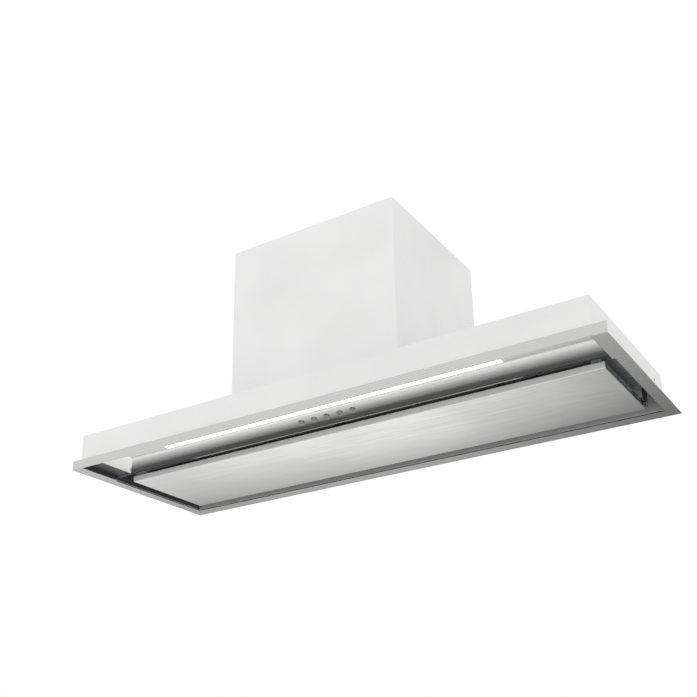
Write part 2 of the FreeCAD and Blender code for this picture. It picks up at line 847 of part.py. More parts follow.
def make_hinge_pins():
    """Two headed pins, riveted through the panel's end walls into the ears."""
    pins = []
    reach = value("ear_gap + ear_sheet + panel_sheet + stop_gap")
    for side in (-1, 1):
        outward = Vector(side, 0, 0)
        wall = Vector(side * value("panel_x - panel_sheet"), value("hinge_y"), value("hinge_z"))
        shank = Part.makeCylinder(value("pin_r"), reach, wall, outward)
        head = Part.makeCylinder(value("pin_head_r"), value("pin_head"), wall, -outward)
        pins.append(shank.fuse(head))
    group = keep(doc.addObject("Part::Feature", "panel_hinge_pins"), "panel_hinge_pins")
    group.Shape = Part.makeCompound(pins)


def make_hinge_bracket(label, side):
    """An ear that hangs from the deck beside the panel and takes its hinge pin."""
    part = new_body(label)
    turned = side == "-"
    ear = new_sketch(part, "YZ", f"{side}ear_x")
    outline(
        ear,
        ("hinge_y - ear_r", "hinge_z"),
        ("hinge_y + ear_r", "hinge_z", "ear_r", 1),
        ("hinge_y + ear_width / 2", "hinge_z + ear_width / 2"),
        ("hinge_y + ear_width / 2", "deck_low"),
        ("hinge_y - ear_width / 2", "deck_low"),
        ("hinge_y - ear_width / 2", "hinge_z + ear_width / 2"),
    )
    pad(part, ear, "ear_sheet", back=turned)
    foot = new_sketch(part, "XY", "deck_low - ear_sheet")
    rectangle(
        foot,
        f"{side}ear_x", f"{side}(ear_x + ear_foot)",
        "hinge_y - ear_width / 2", "hinge_y + ear_width / 2",
    )
    pad(part, foot, "ear_sheet")
    bore = new_sketch(part, "YZ")
    circle(bore, "hinge_y", "hinge_z", "pin_r + pin_play")
    pocket(part, bore, "2 * hood_width", symmetric=True)


def make_panel_catches():
    """Two forks behind the panel's front wall, and the spring leaves on the deck that they grip."""
    forks = []
    leaves = []
    thick = value("prong_sheet")
    low = value("panel_floor")
    front = value("prong_front")
    leaf_width = value("prong_pitch - prong_width - 2 * catch_play")
    for side in (-1, 1):
        middle = side * value("catch_x")
        base_width = value("prong_pitch + prong_width")
        corner = Vector(middle - base_width / 2, front, low)
        fork = Part.makeBox(base_width, thick, value("panel_top") - low, corner)
        for prong in (-1, 1):
            left = middle + prong * value("prong_pitch / 2") - value("prong_width / 2")
            corner = Vector(left, front, low)
            fork = fork.fuse(Part.makeBox(value("prong_width"), thick, value("prong_top") - low, corner))
        forks.append(fork.removeSplitter())
        corner = Vector(middle - leaf_width / 2, front, value("prong_top - catch_reach"))
        leaf = Part.makeBox(leaf_width, thick, value("deck_low") - corner.z, corner)
        corner = Vector(middle - leaf_width / 2, front, value("deck_low") - thick)
        leaf = leaf.fuse(Part.makeBox(leaf_width, value("catch_foot"), thick, corner))
        leaves.append(leaf.removeSplitter())
    for label, solids in (("panel_catches", forks), ("catch_springs", leaves)):
        group = keep(doc.addObject("Part::Feature", label), label)
        group.Shape = Part.makeCompound(solids)


def make_filter_deck():
    """The plate over the panel that carries the filters, folded up at the walls."""
    part = new_body("filter_deck")
    plate = new_sketch(part, "XY", "deck_low")
    rectangle(plate, "-inner_x", "inner_x", "lip_back", "inner_rear")
    for column in (-1, 0, 1):
        middle = f"{column} * filter_pitch"
        rectangle(
            plate,
            f"{middle} - filter_width / 2 + deck_lap", f"{middle} + filter_width / 2 - deck_lap",
            "filter_front + deck_lap", "filter_rear - deck_lap",
        )
    pad(part, plate, "deck_sheet")
    flanges = new_sketch(part, "XY", "deck_low")
    outline(
        flanges,
        ("-inner_x", "lip_back"),
        ("deck_sheet - inner_x", "lip_back"),
        ("deck_sheet - inner_x", "inner_rear - deck_sheet"),
        ("inner_x - deck_sheet", "inner_rear - deck_sheet"),
        ("inner_x - deck_sheet", "lip_back"),
        ("inner_x", "lip_back"),
        ("inner_x", "inner_rear"),
        ("-inner_x", "inner_rear"),
    )
    pad(part, flanges, "deck_flange")


def make_deck_wall():
    """The upright strip under the deck's front edge that stands against the cove's hem."""
    part = new_body("deck_wall")
    strip = new_sketch(part, "XY", "deck_wall_low")
    rectangle(strip, "-inner_x", "inner_x", "lip_back", "lip_back + deck_sheet")
    pad(part, strip, "deck_low - deck_wall_low")


def make_filter_rails():
    """Folded rails along the filters: the front one takes the latch bolts, the rear one the rims."""
    front = new_body("filter_rail_front")
    section = new_sketch(front, "YZ")
    outline(
        section,
        ("rail_web", "filter_low"),
        ("rail_web", "deck_low"),
        ("rail_web - rail_foot", "deck_low"),
        ("rail_web - rail_foot", "deck_low - rail_sheet"),
        ("rail_web - rail_sheet", "deck_low - rail_sheet"),
        ("rail_web - rail_sheet", "filter_low"),
    )
    pad(front, section, "2 * rail_x", symmetric=True)
    slots = new_sketch(front, "XZ", "-rail_web")
    for column in (-1, 0, 1):
        middle = f"{column} * filter_pitch"
        rectangle(
            slots,
            f"{middle} - bolt_width / 2 - latch_play", f"{middle} + bolt_width / 2 + latch_play",
            "bolt_low - latch_play", "bolt_low + bolt_height + latch_play",
        )
    pocket(front, slots, "4 * rail_sheet", symmetric=True)

    rear = new_body("filter_rail_rear")
    section = new_sketch(rear, "YZ")
    ledge = "filter_low - filter_play"
    web = "filter_rear + filter_play"
    outline(
        section,
        ("filter_rear - rail_lip", f"{ledge} - rail_sheet"),
        (f"{web} + rail_sheet", f"{ledge} - rail_sheet"),
        (f"{web} + rail_sheet", "deck_low - rail_sheet"),
        (f"{web} + rail_foot", "deck_low - rail_sheet"),
        (f"{web} + rail_foot", "deck_low"),
        (web, "deck_low"),
        (web, ledge),
        ("filter_rear - rail_lip", ledge),
    )
    pad(rear, section, "2 * rail_x", symmetric=True)


def make_filter(name, column):
    """A cassette: a rim, a pleated mesh pack inside it and a latch in the rim's front bar."""
    middle = f"{column} * filter_pitch"
    half = "filter_width / 2"
    rim = new_body(f"filter_frame_{name}")
    block = new_sketch(rim, "XY", "filter_low")
    rectangle(block, f"-{half}", half, "filter_front", "filter_rear")
    rectangle(
        block,
        f"filter_rim - {half}", f"{half} - filter_rim",
        "filter_front + filter_rim", "filter_rear - filter_rim",
    )
    pad(rim, block, "filter_height")
    channel = new_sketch(rim, "XY", "filter_low")
    rectangle(
        channel,
        "-latch_width / 2 - latch_play", "latch_width / 2 + latch_play",
        "latch_front - latch_play", "latch_front + latch_depth + latch_travel + latch_play",
    )
    pocket(rim, channel, "latch_height + rail_sheet + 2 * latch_play", along=True)
    slot = new_sketch(rim, "XZ", "-filter_front")
    rectangle(
        slot,
        "-bolt_width / 2 - latch_play", "bolt_width / 2 + latch_play",
        "bolt_low - latch_play", "bolt_low + bolt_height + latch_play",
    )
    pocket(rim, slot, "4 * rail_sheet", symmetric=True)
    place(rim, x=middle)

    mesh = new_body(f"filter_mesh_{name}")
    pack = new_sketch(mesh, "XZ", "-filter_front - filter_rim - filter_play")
    pleats(pack)
    pad(mesh, pack, "filter_depth - 2 * filter_rim - 2 * filter_play", back=True)
    place(mesh, x=middle, z="filter_low + (filter_height - mesh_height) / 2")

    latch = new_body(f"filter_latch_{name}")
    plate = new_sketch(latch, "XY", "bolt_low")
    rectangle(plate, "-latch_width / 2", "latch_width / 2", "latch_front", "latch_front + latch_depth")
    pad(latch, plate, "latch_height")
    bolt = new_sketch(latch, "XY", "bolt_low")
    rectangle(bolt, "-bolt_width / 2", "bolt_width / 2", "bolt_tip", "latch_front + latch_play")
    pad(latch, bolt, "bolt_height")
    tab = new_sketch(latch, "XY", "bolt_low")
    tab_rear = "latch_front + latch_depth"
    rectangle(
        tab,
        "-latch_tab_width / 2", "latch_tab_width / 2",
        f"{tab_rear} - latch_tab_depth", tab_rear,
    )
    pad(latch, tab, "bolt_low - filter_low + latch_tab", back=True)
    place(latch, x=middle)


def pleats(sketch):
    """The mesh pack's section: a sheet folded into even pleats across the cassette."""
    span = value("filter_width - 2 * filter_rim - 2 * filter_play")
    count = max(2, round(span / value("mesh_pitch") / 2) * 2)
    left = "-(filter_width / 2 - filter_rim - filter_play)"
    step = f"(filter_width - 2 * filter_rim - 2 * filter_play) / {count}"
    lower = []
    upper = []
    for fold in range(count + 1):
        x = f"{left} + {fold} * {step}"
        rise = "mesh_height - mesh_groove" if fold % 2 else "0"
        lower.append((x, rise))
        upper.append((x, f"{rise} + mesh_groove"))
    outline(sketch, *lower, *reversed(upper))


def make_motor_housing():
    part = new_body("motor_housing")
    block = new_sketch(part, "XY", "body_top")
    rectangle(block, "-housing_x", "housing_x", "-housing_y", "housing_y")
    pad(part, block, "housing_top - body_top")
    foot = new_sketch(part, "XY", "body_top")
    rectangle(
        foot,
        "-housing_x - housing_foot", "housing_x + housing_foot",
        "-housing_y - housing_foot", "housing_y",
    )
    pad(part, foot, "housing_sheet")
    hollow = new_sketch(part, "XY", "body_top")
    rectangle(hollow, "-housing_in_x", "housing_in_x", "-housing_in_y", "housing_in_y")
    pocket(part, hollow, "ceiling - body_top", along=True)
    feet = new_sketch(part, "XY", "body_top + housing_sheet")
    for x, y in foot_screw_places():
        circle(feet, x, y, "screw_hole_r")
    pocket(part, feet, "housing_sheet")
    top = new_sketch(part, "XY", "housing_top")
    circle(top, "0", "duct_y", "bore_r")
    for x, y in collar_screw_places():
        circle(top, x, f"duct_y + {y}", "screw_hole_r")
    pocket(part, top, "housing_sheet")
    door = new_sketch(part, "XZ", "-housing_y")
    rectangle(door, "-door_x", "door_x", "door_low", "door_top")
    for x, z in cover_screw_places():
        circle(door, x, z, "screw_hole_r")
    pocket(part, door, "housing_sheet", along=True)


def cover_screw_places():
    """Three screws up each side of the rear cover."""
    places = []
    for x in ("-cover_screw_x", "cover_screw_x"):
        for z in ("cover_screw_low", "(cover_screw_low + cover_screw_top) / 2", "cover_screw_top"):
            places.append((x, z))
    return places


def collar_screw_places():
    """Four screws round the outlet, from its centre."""
    return [(f"{x}collar_screw_at", f"{y}collar_screw_at") for x in ("-", "") for y in ("-", "")]


def make_rear_cover():
    """The service cover, a plate with a raised middle."""
    part = new_body("rear_cover")
    plate = new_sketch(part, "XZ", "-housing_y")
    rectangle(
        plate,
        "-door_x - cover_lap", "door_x + cover_lap",
        "door_low - cover_lap", "door_top + cover_lap",
    )
    pad(part, plate, "housing_sheet", back=True)
    raised = new_sketch(part, "XZ", "-housing_y")
    rectangle(
        raised,
        "cover_emboss_in - door_x", "door_x - cover_emboss_in",
        "door_low + cover_emboss_in", "door_top - cover_emboss_in",
    )
    pad(part, raised, "housing_sheet + cover_emboss", back=True)
    inside = new_sketch(part, "XZ", "-housing_y")
    rectangle(
        inside,
        "cover_emboss_in + housing_sheet - door_x", "door_x - cover_emboss_in - housing_sheet",
        "door_low + cover_emboss_in + housing_sheet", "door_top - cover_emboss_in - housing_sheet",
    )
    pocket(part, inside, "cover_emboss")
    holes = new_sketch(part, "XZ", "-housing_y")
    for x, z in cover_screw_places():
        circle(holes, x, z, "screw_hole_r")
    pocket(part, holes, "housing_sheet")


def make_outlet_collar():
    """The moulded duct spigot, with a ledge inside that the closed flaps rest on."""
    part = new_body("outlet_collar")
    section = new_sketch(part, "XZ")
    outline(
        section,
        ("bore_r", "0"),
        ("outlet_flange_r", "0"),
        ("outlet_flange_r", "outlet_flange"),
        ("outlet_r", "outlet_flange"),
        ("outlet_r", "outlet_height"),
        ("bore_r", "outlet_height"),
        ("bore_r", "outlet_ledge_top"),
        ("bore_r - outlet_ledge", "outlet_ledge_top"),
        ("bore_r - outlet_ledge", "outlet_ledge_top - outlet_ledge_sheet"),
        ("bore_r", "outlet_ledge_top - outlet_ledge_sheet"),
    )
    revolve(part, section, "V_Axis")
    holes = new_sketch(part, "XY", "outlet_flange")
    for x, y in collar_screw_places():
        circle(holes, x, y, "screw_hole_r")
    pocket(part, holes, "outlet_flange")
    axle_bore = new_sketch(part, "YZ")
    circle(axle_bore, "0", "axle_lift", "axle_r + axle_play")
    pocket(part, axle_bore, "2 * bore_r + outlet_wall", symmetric=True)
    place(part, y="duct_y", z="housing_top")


def make_flap(label, knuckle_x, turned):
    """A half disc on two knuckles. It closes by its own weight and the air lifts it."""
    part = new_body(label)
    plate = new_sketch(part, "XY")
    edge = "sqrt(flap_r ^ 2 - flap_hinge_gap ^ 2)"
    outline(plate, (edge, "flap_hinge_gap"), (f"-{edge}", "flap_hinge_gap", "flap_r", 1))
    pad(part, plate, "flap_sheet", symmetric=True)
    webs = new_sketch(part, "XY")
    for side in ("-", ""):
        middle = f"{side}{knuckle_x}"
        rectangle(
            webs,
            f"{middle} - knuckle_length / 2", f"{middle} + knuckle_length / 2",
            "0", "flap_hinge_gap + flap_sheet",
        )
    pad(part, webs, "flap_sheet", symmetric=True)
    for side in ("-", ""):
        barrel = new_sketch(part, "YZ", f"{side}{knuckle_x}")
        circle(barrel, "0", "0", "knuckle_r")
        pad(part, barrel, "knuckle_length", symmetric=True)
    bore = new_sketch(part, "YZ")
    circle(bore, "0", "0", "axle_r + axle_play")
    pocket(part, bore, "2 * flap_r", symmetric=True)
    if turned:
        part.Placement = Placement(Vector(), Rotation(Vector(0, 0, 1), 180))
    place(part, y="duct_y", z="housing_top + axle_lift")


def make_axle():
    axle = keep(doc.addObject("Part::Cylinder", "flap_axle"), "flap_axle")
    axle.setExpression("Radius", formula("axle_r"))
    axle.setExpression("Height", formula("2 * bore_r + outlet_wall"))
    axle.Placement = Placement(Vector(), Rotation(Vector(0, 1, 0), 90))
    place(axle, "-bore_r - outlet_wall / 2", "duct_y", "housing_top + axle_lift")


def scroll_outline(sketch, wall, mouth):
    """The volute round the impeller's axis, in three quarter arcs and a straight duct up to the mouth."""
    shift = "spiral_step / 2"
    first = f"spiral_top + {shift} + {wall}"
    second = f"{first} + spiral_step"
    third = f"{second} + spiral_step"
    outline(
        sketch,
        (f"-({shift})", f"spiral_top + {wall}"),
        (f"-spiral_left - {wall}", f"-({shift})", first, 1),
        (shift, f"-spiral_low - {wall}", second, 1),
        (f"spiral_right + {wall}", shift, third, 1),
        (f"spiral_right + {wall}", mouth),
        (f"tongue_in - {wall}", mouth),
        (f"tongue_in - {wall}", f"spiral_top + {wall}"),
    )


def make_scroll_half(label, side):
    part = new_body(label)
    left = side == "-"
    shell = new_sketch(part, "YZ")
    scroll_outline(shell, "scroll_wall", "fan_reach")
    pad(part, shell, "scroll_side", back=left)
    flange = new_sketch(part, "XY", "fan_reach - scroll_wall")
    rectangle(
        flange,
        "0", f"{side}(scroll_side + scroll_flange)",
        "tongue_in - scroll_wall - scroll_flange", "spiral_right + scroll_wall + scroll_flange",
    )
    pad(part, flange, "scroll_wall")
    ring = new_sketch(part, "YZ", f"{side}scroll_side")
    circle(ring, "0", "0", "inlet_r + inlet_ring")
    pad(part, ring, "inlet_ring_height", back=left)
    hollow = new_sketch(part, "YZ")
    scroll_outline(hollow, "0", "fan_reach + scroll_wall")
    pocket(part, hollow, "scroll_x", along=not left)
    inlet = new_sketch(part, "YZ")
    circle(inlet, "0", "0", "inlet_r")
    pocket(part, inlet, "4 * scroll_side", symmetric=True)
    place(part, y="fan_y", z="fan_z")


def make_outlet_seal():
    """The foam frame between the scroll's mouth and the housing's top."""
    part = new_body("outlet_seal")
    frame = new_sketch(part, "XY", "fan_reach")
    edge = "scroll_side + scroll_flange"
    rectangle(
        frame,
        f"-({edge})", edge,
        "tongue_in - scroll_wall - scroll_flange", "spiral_right + scroll_wall + scroll_flange",
    )
    rectangle(frame, "-scroll_side", "scroll_side", "tongue_in - scroll_wall", "spiral_right + scroll_wall")
    pad(part, frame, "outlet_seal")
    place(part, y="fan_y", z="fan_z")


def make_impeller():
    """A double-inlet wheel: forward-curved blades through a middle disc, with a ring at each end."""
    part = new_body("impeller")
    disc = new_sketch(part, "YZ")
    circle(disc, "0", "0", "impeller_r")
    pad(part, disc, "impeller_disc", symmetric=True)
    blade = new_sketch(part, "YZ")
    tip_y, tip_z = "blade_out * cos(blade_lean)", "blade_out * sin(blade_lean)"
    outline(
        blade,
        ("blade_in", "0"),
        (tip_y, tip_z, "blade_curve_r", 1),
        (tip_y, f"{tip_z} + blade_sheet"),
        ("blade_in", "blade_sheet", "blade_curve_r", -1),
    )
    blade_pad = pad(part, blade, "impeller_width", symmetric=True)
    polar(part, blade_pad, blade, BLADE_COUNT)
    for side in ("-", ""):
        ring = new_sketch(part, "YZ", f"{side}(impeller_width - ring_width) / 2")
        circle(ring, "0", "0", "impeller_r")
        circle(ring, "0", "0", "impeller_r - ring_depth")
        pad(part, ring, "ring_width", symmetric=True)
    hub = new_sketch(part, "YZ")
    circle(hub, "0", "0", "hub_r")
    pad(part, hub, "hub_width", symmetric=True)
    bore = new_sketch(part, "YZ")
    circle(bore, "0", "0", "shaft_r + shaft_play")
    pocket(part, bore, "2 * hub_width", symmetric=True)
    place(part, y="fan_y", z="fan_z")


def make_motor():
    shaft = keep(doc.addObject("Part::Cylinder", "motor_shaft"), "motor_shaft")
    shaft.setExpression("Radius", formula("shaft_r"))
    shaft.setExpression("Height", formula("hub_width / 2 + motor_start + shaft_tail"))
    shaft.Placement = Placement(Vector(), Rotation(Vector(0, 1, 0), 90))
    place(shaft, "-hub_width / 2", "fan_y", "fan_z")

    can = new_body("motor_can")
    section = new_sketch(can, "XY")
    nose = "motor_start + motor_boss"
    bore_end = "motor_start + shaft_tail + stop_gap"
    outline(
        section,
        ("motor_start", "shaft_r + shaft_play"),
        ("motor_start", "motor_boss_r"),
        (nose, "motor_boss_r"),
        (nose, "motor_r - motor_shoulder"),
        (f"{nose} + motor_shoulder", "motor_r", "motor_shoulder", -1),
        ("motor_end - motor_shoulder", "motor_r"),
        ("motor_end", "motor_r - motor_shoulder", "motor_shoulder", -1),
        ("motor_end", "0"),
        (bore_end, "0"),
        (bore_end, "shaft_r + shaft_play"),
    )
    revolve(can, section, "H_Axis")
    place(can, y="fan_y", z="fan_z")

    spider = new_body("motor_spider")
    ring = new_sketch(spider, "YZ", "spider_low")
    circle(ring, "0", "0", "motor_r + spider_play + spider_ring")
    circle(ring, "0", "0", "motor_r + spider_play")
    pad(spider, ring, "spider_sheet")
    arm = new_sketch(spider, "YZ", "spider_low")
    rectangle(
        arm,
        "motor_r + spider_play + spider_ring / 2", "inlet_r + inlet_ring",
        "-spider_arm / 2", "spider_arm / 2",
    )
    arm_pad = pad(spider, arm, "spider_sheet")
    polar(spider, arm_pad, arm, SPIDER_ARMS)
    place(spider, y="fan_y", z="fan_z")


def make_capacitor():
    can = keep(doc.addObject("Part::Cylinder", "capacitor"), "capacitor")
    can.setExpression("Radius", formula("capacitor_r"))
    can.setExpression("Height", formula("capacitor_length"))
    place(can, "capacitor_x", "capacitor_y", "body_top + capacitor_low")

    clip = new_body("capacitor_clip")
    band = new_sketch(clip, "XY")
    circle(band, "0", "0", "capacitor_r + clip_sheet")
    pad(clip, band, "clip_height", symmetric=True)
    foot = new_sketch(clip, "XY")
    wall = "-capacitor_r - clip_sheet"
    rectangle(foot, wall, f"{wall} + clip_sheet", "-clip_width / 2", "clip_width / 2")
    pad(clip, foot, "clip_height", symmetric=True)
    bore = new_sketch(clip, "XY")
    circle(bore, "0", "0", "capacitor_r + shaft_play")
    pocket(clip, bore, "2 * clip_height", symmetric=True)
    place(clip, "capacitor_x", "capacitor_y", "body_top + capacitor_low + capacitor_length / 2")


def make_electronics():
    case = new_body("electronics_box")
    block = new_sketch(case, "XY", "body_top")
    rectangle(block, "box_left", "box_right", "box_front", "box_rear")
    pad(case, block, "box_height")
    round_edges(case, "box_edge", upright)
    hollow = new_sketch(case, "XY", "body_top + box_wall")
    rectangle(
        hollow,
        "box_left + box_wall", "box_right - box_wall",
        "box_front + box_wall", "box_rear - box_wall",
    )
    pocket(case, hollow, "box_height", along=True)
    wires = new_sketch(case, "XY", "body_top + box_wall")
    circle(wires, "box_right - 2 * wire_hole_r - box_wall", "box_mid_y", "wire_hole_r")
    pocket(case, wires, "box_wall")
    inlet = new_sketch(case, "YZ", "box_left")
    circle(inlet, "box_mid_y", "gland_z", "gland_thread_r + gland_play")
    pocket(case, inlet, "4 * box_wall", symmetric=True)

    lid = new_body("electronics_lid")
    plate = new_sketch(lid, "XY", "box_rim")
    rectangle(plate, "box_left", "box_right", "box_front", "box_rear")
    pad(lid, plate, "box_lid")
    round_edges(lid, "box_edge", upright)
    rib = new_sketch(lid, "XY", "box_rim")
    inset = "(box_wall + box_lid_play)"
    rectangle(
        rib,
        f"box_left + {inset}", f"box_right - {inset}",
        f"box_front + {inset}", f"box_rear - {inset}",
    )
    inset = "(2 * box_wall + box_lid_play)"
    rectangle(
        rib,
        f"box_left + {inset}", f"box_right - {inset}",
        f"box_front + {inset}", f"box_rear - {inset}",
    )
    pad(lid, rib, "box_lid_lip", back=True)

    board = new_body("power_board")
    plate = new_sketch(board, "XY", "body_top + box_wall + power_board_lift")
    rectangle(
        plate,
        "box_left + gland_dome + power_board_in", "box_right - power_board_in",
        "box_front + power_board_in", "box_rear - power_board_in",
    )
    circle(plate, "box_right - 2 * wire_hole_r - box_wall", "box_mid_y", "wire_hole_r")
    pad(board, plate, "power_board_sheet")
    posts = new_sketch(board, "XY", "body_top + box_wall")
    for y in ("box_front + 2 * power_board_in", "box_rear - 2 * power_board_in"):
        for x in ("box_left + gland_dome + 2 * power_board_in", "box_right - 2 * power_board_in"):
            circle(posts, x, y, "screw_r")
    pad(board, posts, "power_board_lift")
    parts_face = "body_top + box_wall + power_board_lift + power_board_sheet"
    transformer = new_sketch(board, "XY", parts_face)
    left = "box_left + gland_dome + 2 * power_board_in"
    rectangle(
        transformer,
        left, f"{left} + transformer_size",
        "box_mid_y - transformer_size / 2", "box_mid_y + transformer_size / 2",
    )
    pad(board, transformer, "transformer_height")
    relays = new_sketch(board, "XY", parts_face)
    for y in ("box_front + 2 * power_board_in", "box_rear - 2 * power_board_in - relay_size"):
        x = f"{left} + transformer_size + relay_size / 2"
        rectangle(relays, x, f"{x} + relay_size", y, f"{y} + relay_size")
    pad(board, relays, "relay_size")


def make_mains_gland():
    """The cable inlet in the end of the electronics box: a threaded sleeve, a nut and a dome."""
    part = new_body("mains_gland")
    nut = new_sketch(part, "YZ")
    corners = []
    for corner in range(6):
        corners.append((f"gland_nut_r * cos({60 * corner})", f"gland_nut_r * sin({60 * corner})"))
    outline(nut, *corners)
    pad(part, nut, "gland_nut", back=True)
    section = new_sketch(part, "XY")
    outline(
        section,
        ("-gland_nut", "0"),
        ("-gland_nut", "gland_thread_r"),
        ("-gland_nut - gland_dome / 2", "gland_thread_r"),
        ("-gland_nut - gland_dome", "gland_bore_r + gland_dome / 10"),
        ("-gland_nut - gland_dome", "0"),
    )
    revolve(part, section, "H_Axis")
    sleeve = new_sketch(part, "YZ")
    circle(sleeve, "0", "0", "gland_thread_r")
    pad(part, sleeve, "box_wall + gland_nut")
    bore = new_sketch(part, "YZ")
    circle(bore, "0", "0", "gland_bore_r")
    pocket(part, bore, "4 * gland_nut + 4 * gland_dome", symmetric=True)
    place(part, "box_left", "box_mid_y", "gland_z")


def make_lamp_driver():
    """The sealed supply of the lamp, with a screw ear at each end."""
    part = new_body("lamp_driver")
    block = new_sketch(part, "XY")
    rectangle(block, "-driver_length / 2", "driver_length / 2", "0", "driver_depth")
    pad(part, block, "driver_height")
    round_edges(part, "driver_edge", lambda edge: upright(edge) or edge.BoundBox.ZMin > 0)
    ears = new_sketch(part, "XY")
    end = "driver_length / 2 + driver_ear"
    rectangle(ears, f"-({end})", end, "driver_depth / 4", "3 * driver_depth / 4")
    for side in ("-", ""):
        circle(ears, f"{side}(driver_length + driver_ear) / 2", "driver_depth / 2", "driver_ear_hole_r")
    pad(part, ears, "driver_ear_sheet")
    place(part, "driver_mid + driver_ear", "box_front", "body_top")


def make_screws(label, seats, outward, grip):
    """Pan-head screws on their seats, as separate solids. The grip is the length under the head."""
    screws = []
    head_height = value("screw_head")
    for seat in seats:
        seat_at = Vector(*(value(text) for text in seat))
        head = Part.makeCylinder(value("screw_head_r"), head_height, seat_at, outward)
        crown = seat_at + outward * head_height
        rim = [edge for edge in head.Edges if edge.CenterOfMass.isEqual(crown, 1e-6)]
        head = head.makeFillet(head_height / 2, rim)
        shank = Part.makeCylinder(value("screw_r"), value(grip), seat_at, -outward)
        screws.append(head.fuse(shank))
    group = keep(doc.addObject("Part::Feature", label), label)
    group.Shape = Part.makeCompound(screws)


def make_fasteners():
    foot_top = "body_top + housing_sheet"
    feet = [(x, y, foot_top) for x, y in foot_screw_places()]
    make_screws("housing_screws", feet, Vector(0, 0, 1), "housing_sheet + body_sheet + screw_tail")
    collar_top = "housing_top + outlet_flange"
    collar = [(x, f"duct_y + {y}", collar_top) for x, y in collar_screw_places()]
    make_screws("collar_screws", collar, Vector(0, 0, 1), "outlet_flange + housing_sheet")
    cover_face = "housing_y + housing_sheet"
    cover = [(x, cover_face, z) for x, z in cover_screw_places()]
    make_screws("cover_screws", cover, Vector(0, 1, 0), "2 * housing_sheet + screw_tail")


def make_all():
    make_trim_frame()
    make_body_shell()
    make_light_cove()
    make_cove_brackets()
    make_lamp()
    for index in range(BUTTON_COUNT):
        make_button(index)
    make_controls()
    make_suction_panel()
    make_panel_stiffener()
    make_hinge_pins()
    make_hinge_bracket("hinge_bracket_left", "-")
    make_hinge_bracket("hinge_bracket_right", "")
    make_panel_catches()
    make_filter_deck()
    make_deck_wall()
    make_filter_rails()
    for column, name in enumerate(FILTER_NAMES, start=-1):
        make_filter(name, column)
    make_motor_housing()
    make_rear_cover()
    make_outlet_collar()
    make_axle()
    make_flap("flap_rear", "knuckle_inner_x", turned=False)
    make_flap("flap_front", "knuckle_outer_x", turned=True)
    make_scroll_half("scroll_left", "-")
    make_scroll_half("scroll_right", "")
    make_outlet_seal()
    make_impeller()
    make_motor()
    make_capacitor()
    make_electronics()
    make_mains_gland()
    make_lamp_driver()
    make_fasteners()


def write_parts():
    """Check every object and write each sub-part to its own file."""
    doc.recompute()
    for item in doc.Objects:
        if "Invalid" in item.State or "Error" in item.State:
            raise RuntimeError(f"{item.Label} failed: {item.State}")
    for part in sub_parts:
        if part.Shape.isNull() or not part.Shape.isValid():
            raise RuntimeError(f"{part.Label} has no valid shape")
    os.makedirs("parts", exist_ok=True)
    for part in sub_parts:
        part.Shape.exportStep(f"parts/{part.Label}.step")


make_all()
write_parts()
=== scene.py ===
import json
import math

import bpy
from bpy.props import FloatProperty, FloatVectorProperty, PointerProperty
from bpy.types import Operator, Panel, PropertyGroup
from mathutils import Euler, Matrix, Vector


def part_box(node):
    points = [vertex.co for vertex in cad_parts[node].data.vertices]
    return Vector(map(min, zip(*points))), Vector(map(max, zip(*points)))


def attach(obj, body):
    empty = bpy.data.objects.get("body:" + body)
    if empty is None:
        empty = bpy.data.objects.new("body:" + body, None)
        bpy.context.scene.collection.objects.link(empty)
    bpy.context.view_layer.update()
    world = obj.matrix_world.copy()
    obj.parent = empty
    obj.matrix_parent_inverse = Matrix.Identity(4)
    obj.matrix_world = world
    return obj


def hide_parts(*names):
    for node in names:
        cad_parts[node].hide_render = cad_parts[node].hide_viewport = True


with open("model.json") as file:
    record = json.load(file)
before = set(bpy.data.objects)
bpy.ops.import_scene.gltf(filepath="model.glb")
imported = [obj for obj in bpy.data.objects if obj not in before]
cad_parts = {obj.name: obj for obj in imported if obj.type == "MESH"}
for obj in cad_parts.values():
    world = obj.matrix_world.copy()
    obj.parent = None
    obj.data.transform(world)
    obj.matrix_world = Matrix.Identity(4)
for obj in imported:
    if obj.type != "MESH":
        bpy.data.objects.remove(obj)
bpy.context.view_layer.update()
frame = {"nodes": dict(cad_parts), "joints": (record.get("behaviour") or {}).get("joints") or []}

bl_info = {
    "name": "Built-in range hood",
    "version": (1, 0, 0),
    "blender": (4, 5, 0),
    "location": "View3D > Sidebar > Hood",
    "description": "Finishes a built-in range hood: steel, coated sheet, lamp, buttons and studio",
    "category": "Object",
}

MM = 0.001
# The range that a noise pattern mostly keeps to
NOISE_SPAN = {"From Min": 0.3, "From Max": 0.7}
# How close points lie that are one, or that are on one flat face, in metres
ONE_POINT = 1e-6
ONE_FACE = 1e-5
# Edges that turn by less are shaded smooth, in degrees
SMOOTH_ANGLE = 35
# Pan-head screws: radius and height of the head, and length of the shank under it
SCREW = (3.6 * MM, 2 * MM, 1.9 * MM)
LID_SCREW = (2.8 * MM, 1.4 * MM, 1 * MM)
SHANK_RADIUS = 2 * MM
LID_CROWN = 1.2 * MM
SEAT_REACH = 8 * MM
# Each screw of a group stops this much further round than the one before, in degrees
SCREW_TURN = 37
# Painted reflection, seen only in polished metal: how bright the floor is there. Along an axis, between two
# places in metres, it goes from the first level to the last. "deep" is how much the levels of the two sides
# count.
PAINTED_REFLECTION = {
    "under": ("Y", -0.9, 1.65, 0.08, 1.0),
    "ahead": ("Y", -8.7, -4.3, 1.0, 0.0),
    "far": ("Y", 3.75, 4.5, 1.0, 0.05),
    "right": ("X", -1.75, 0.3, 1.0, 0.05),
    "left": ("X", -3.75, -2.3, 0.74, 1.0),
    "deep": ("Y", 1.3, 3.4, 0.0, 1.0),
}
FLOOR_SIZE = 60
# How white the camera sees the floor, by its distance from the hood in metres
FLOOR_FADE = {"From Min": 3, "From Max": 20, "To Min": 0.6, "To Max": 1}
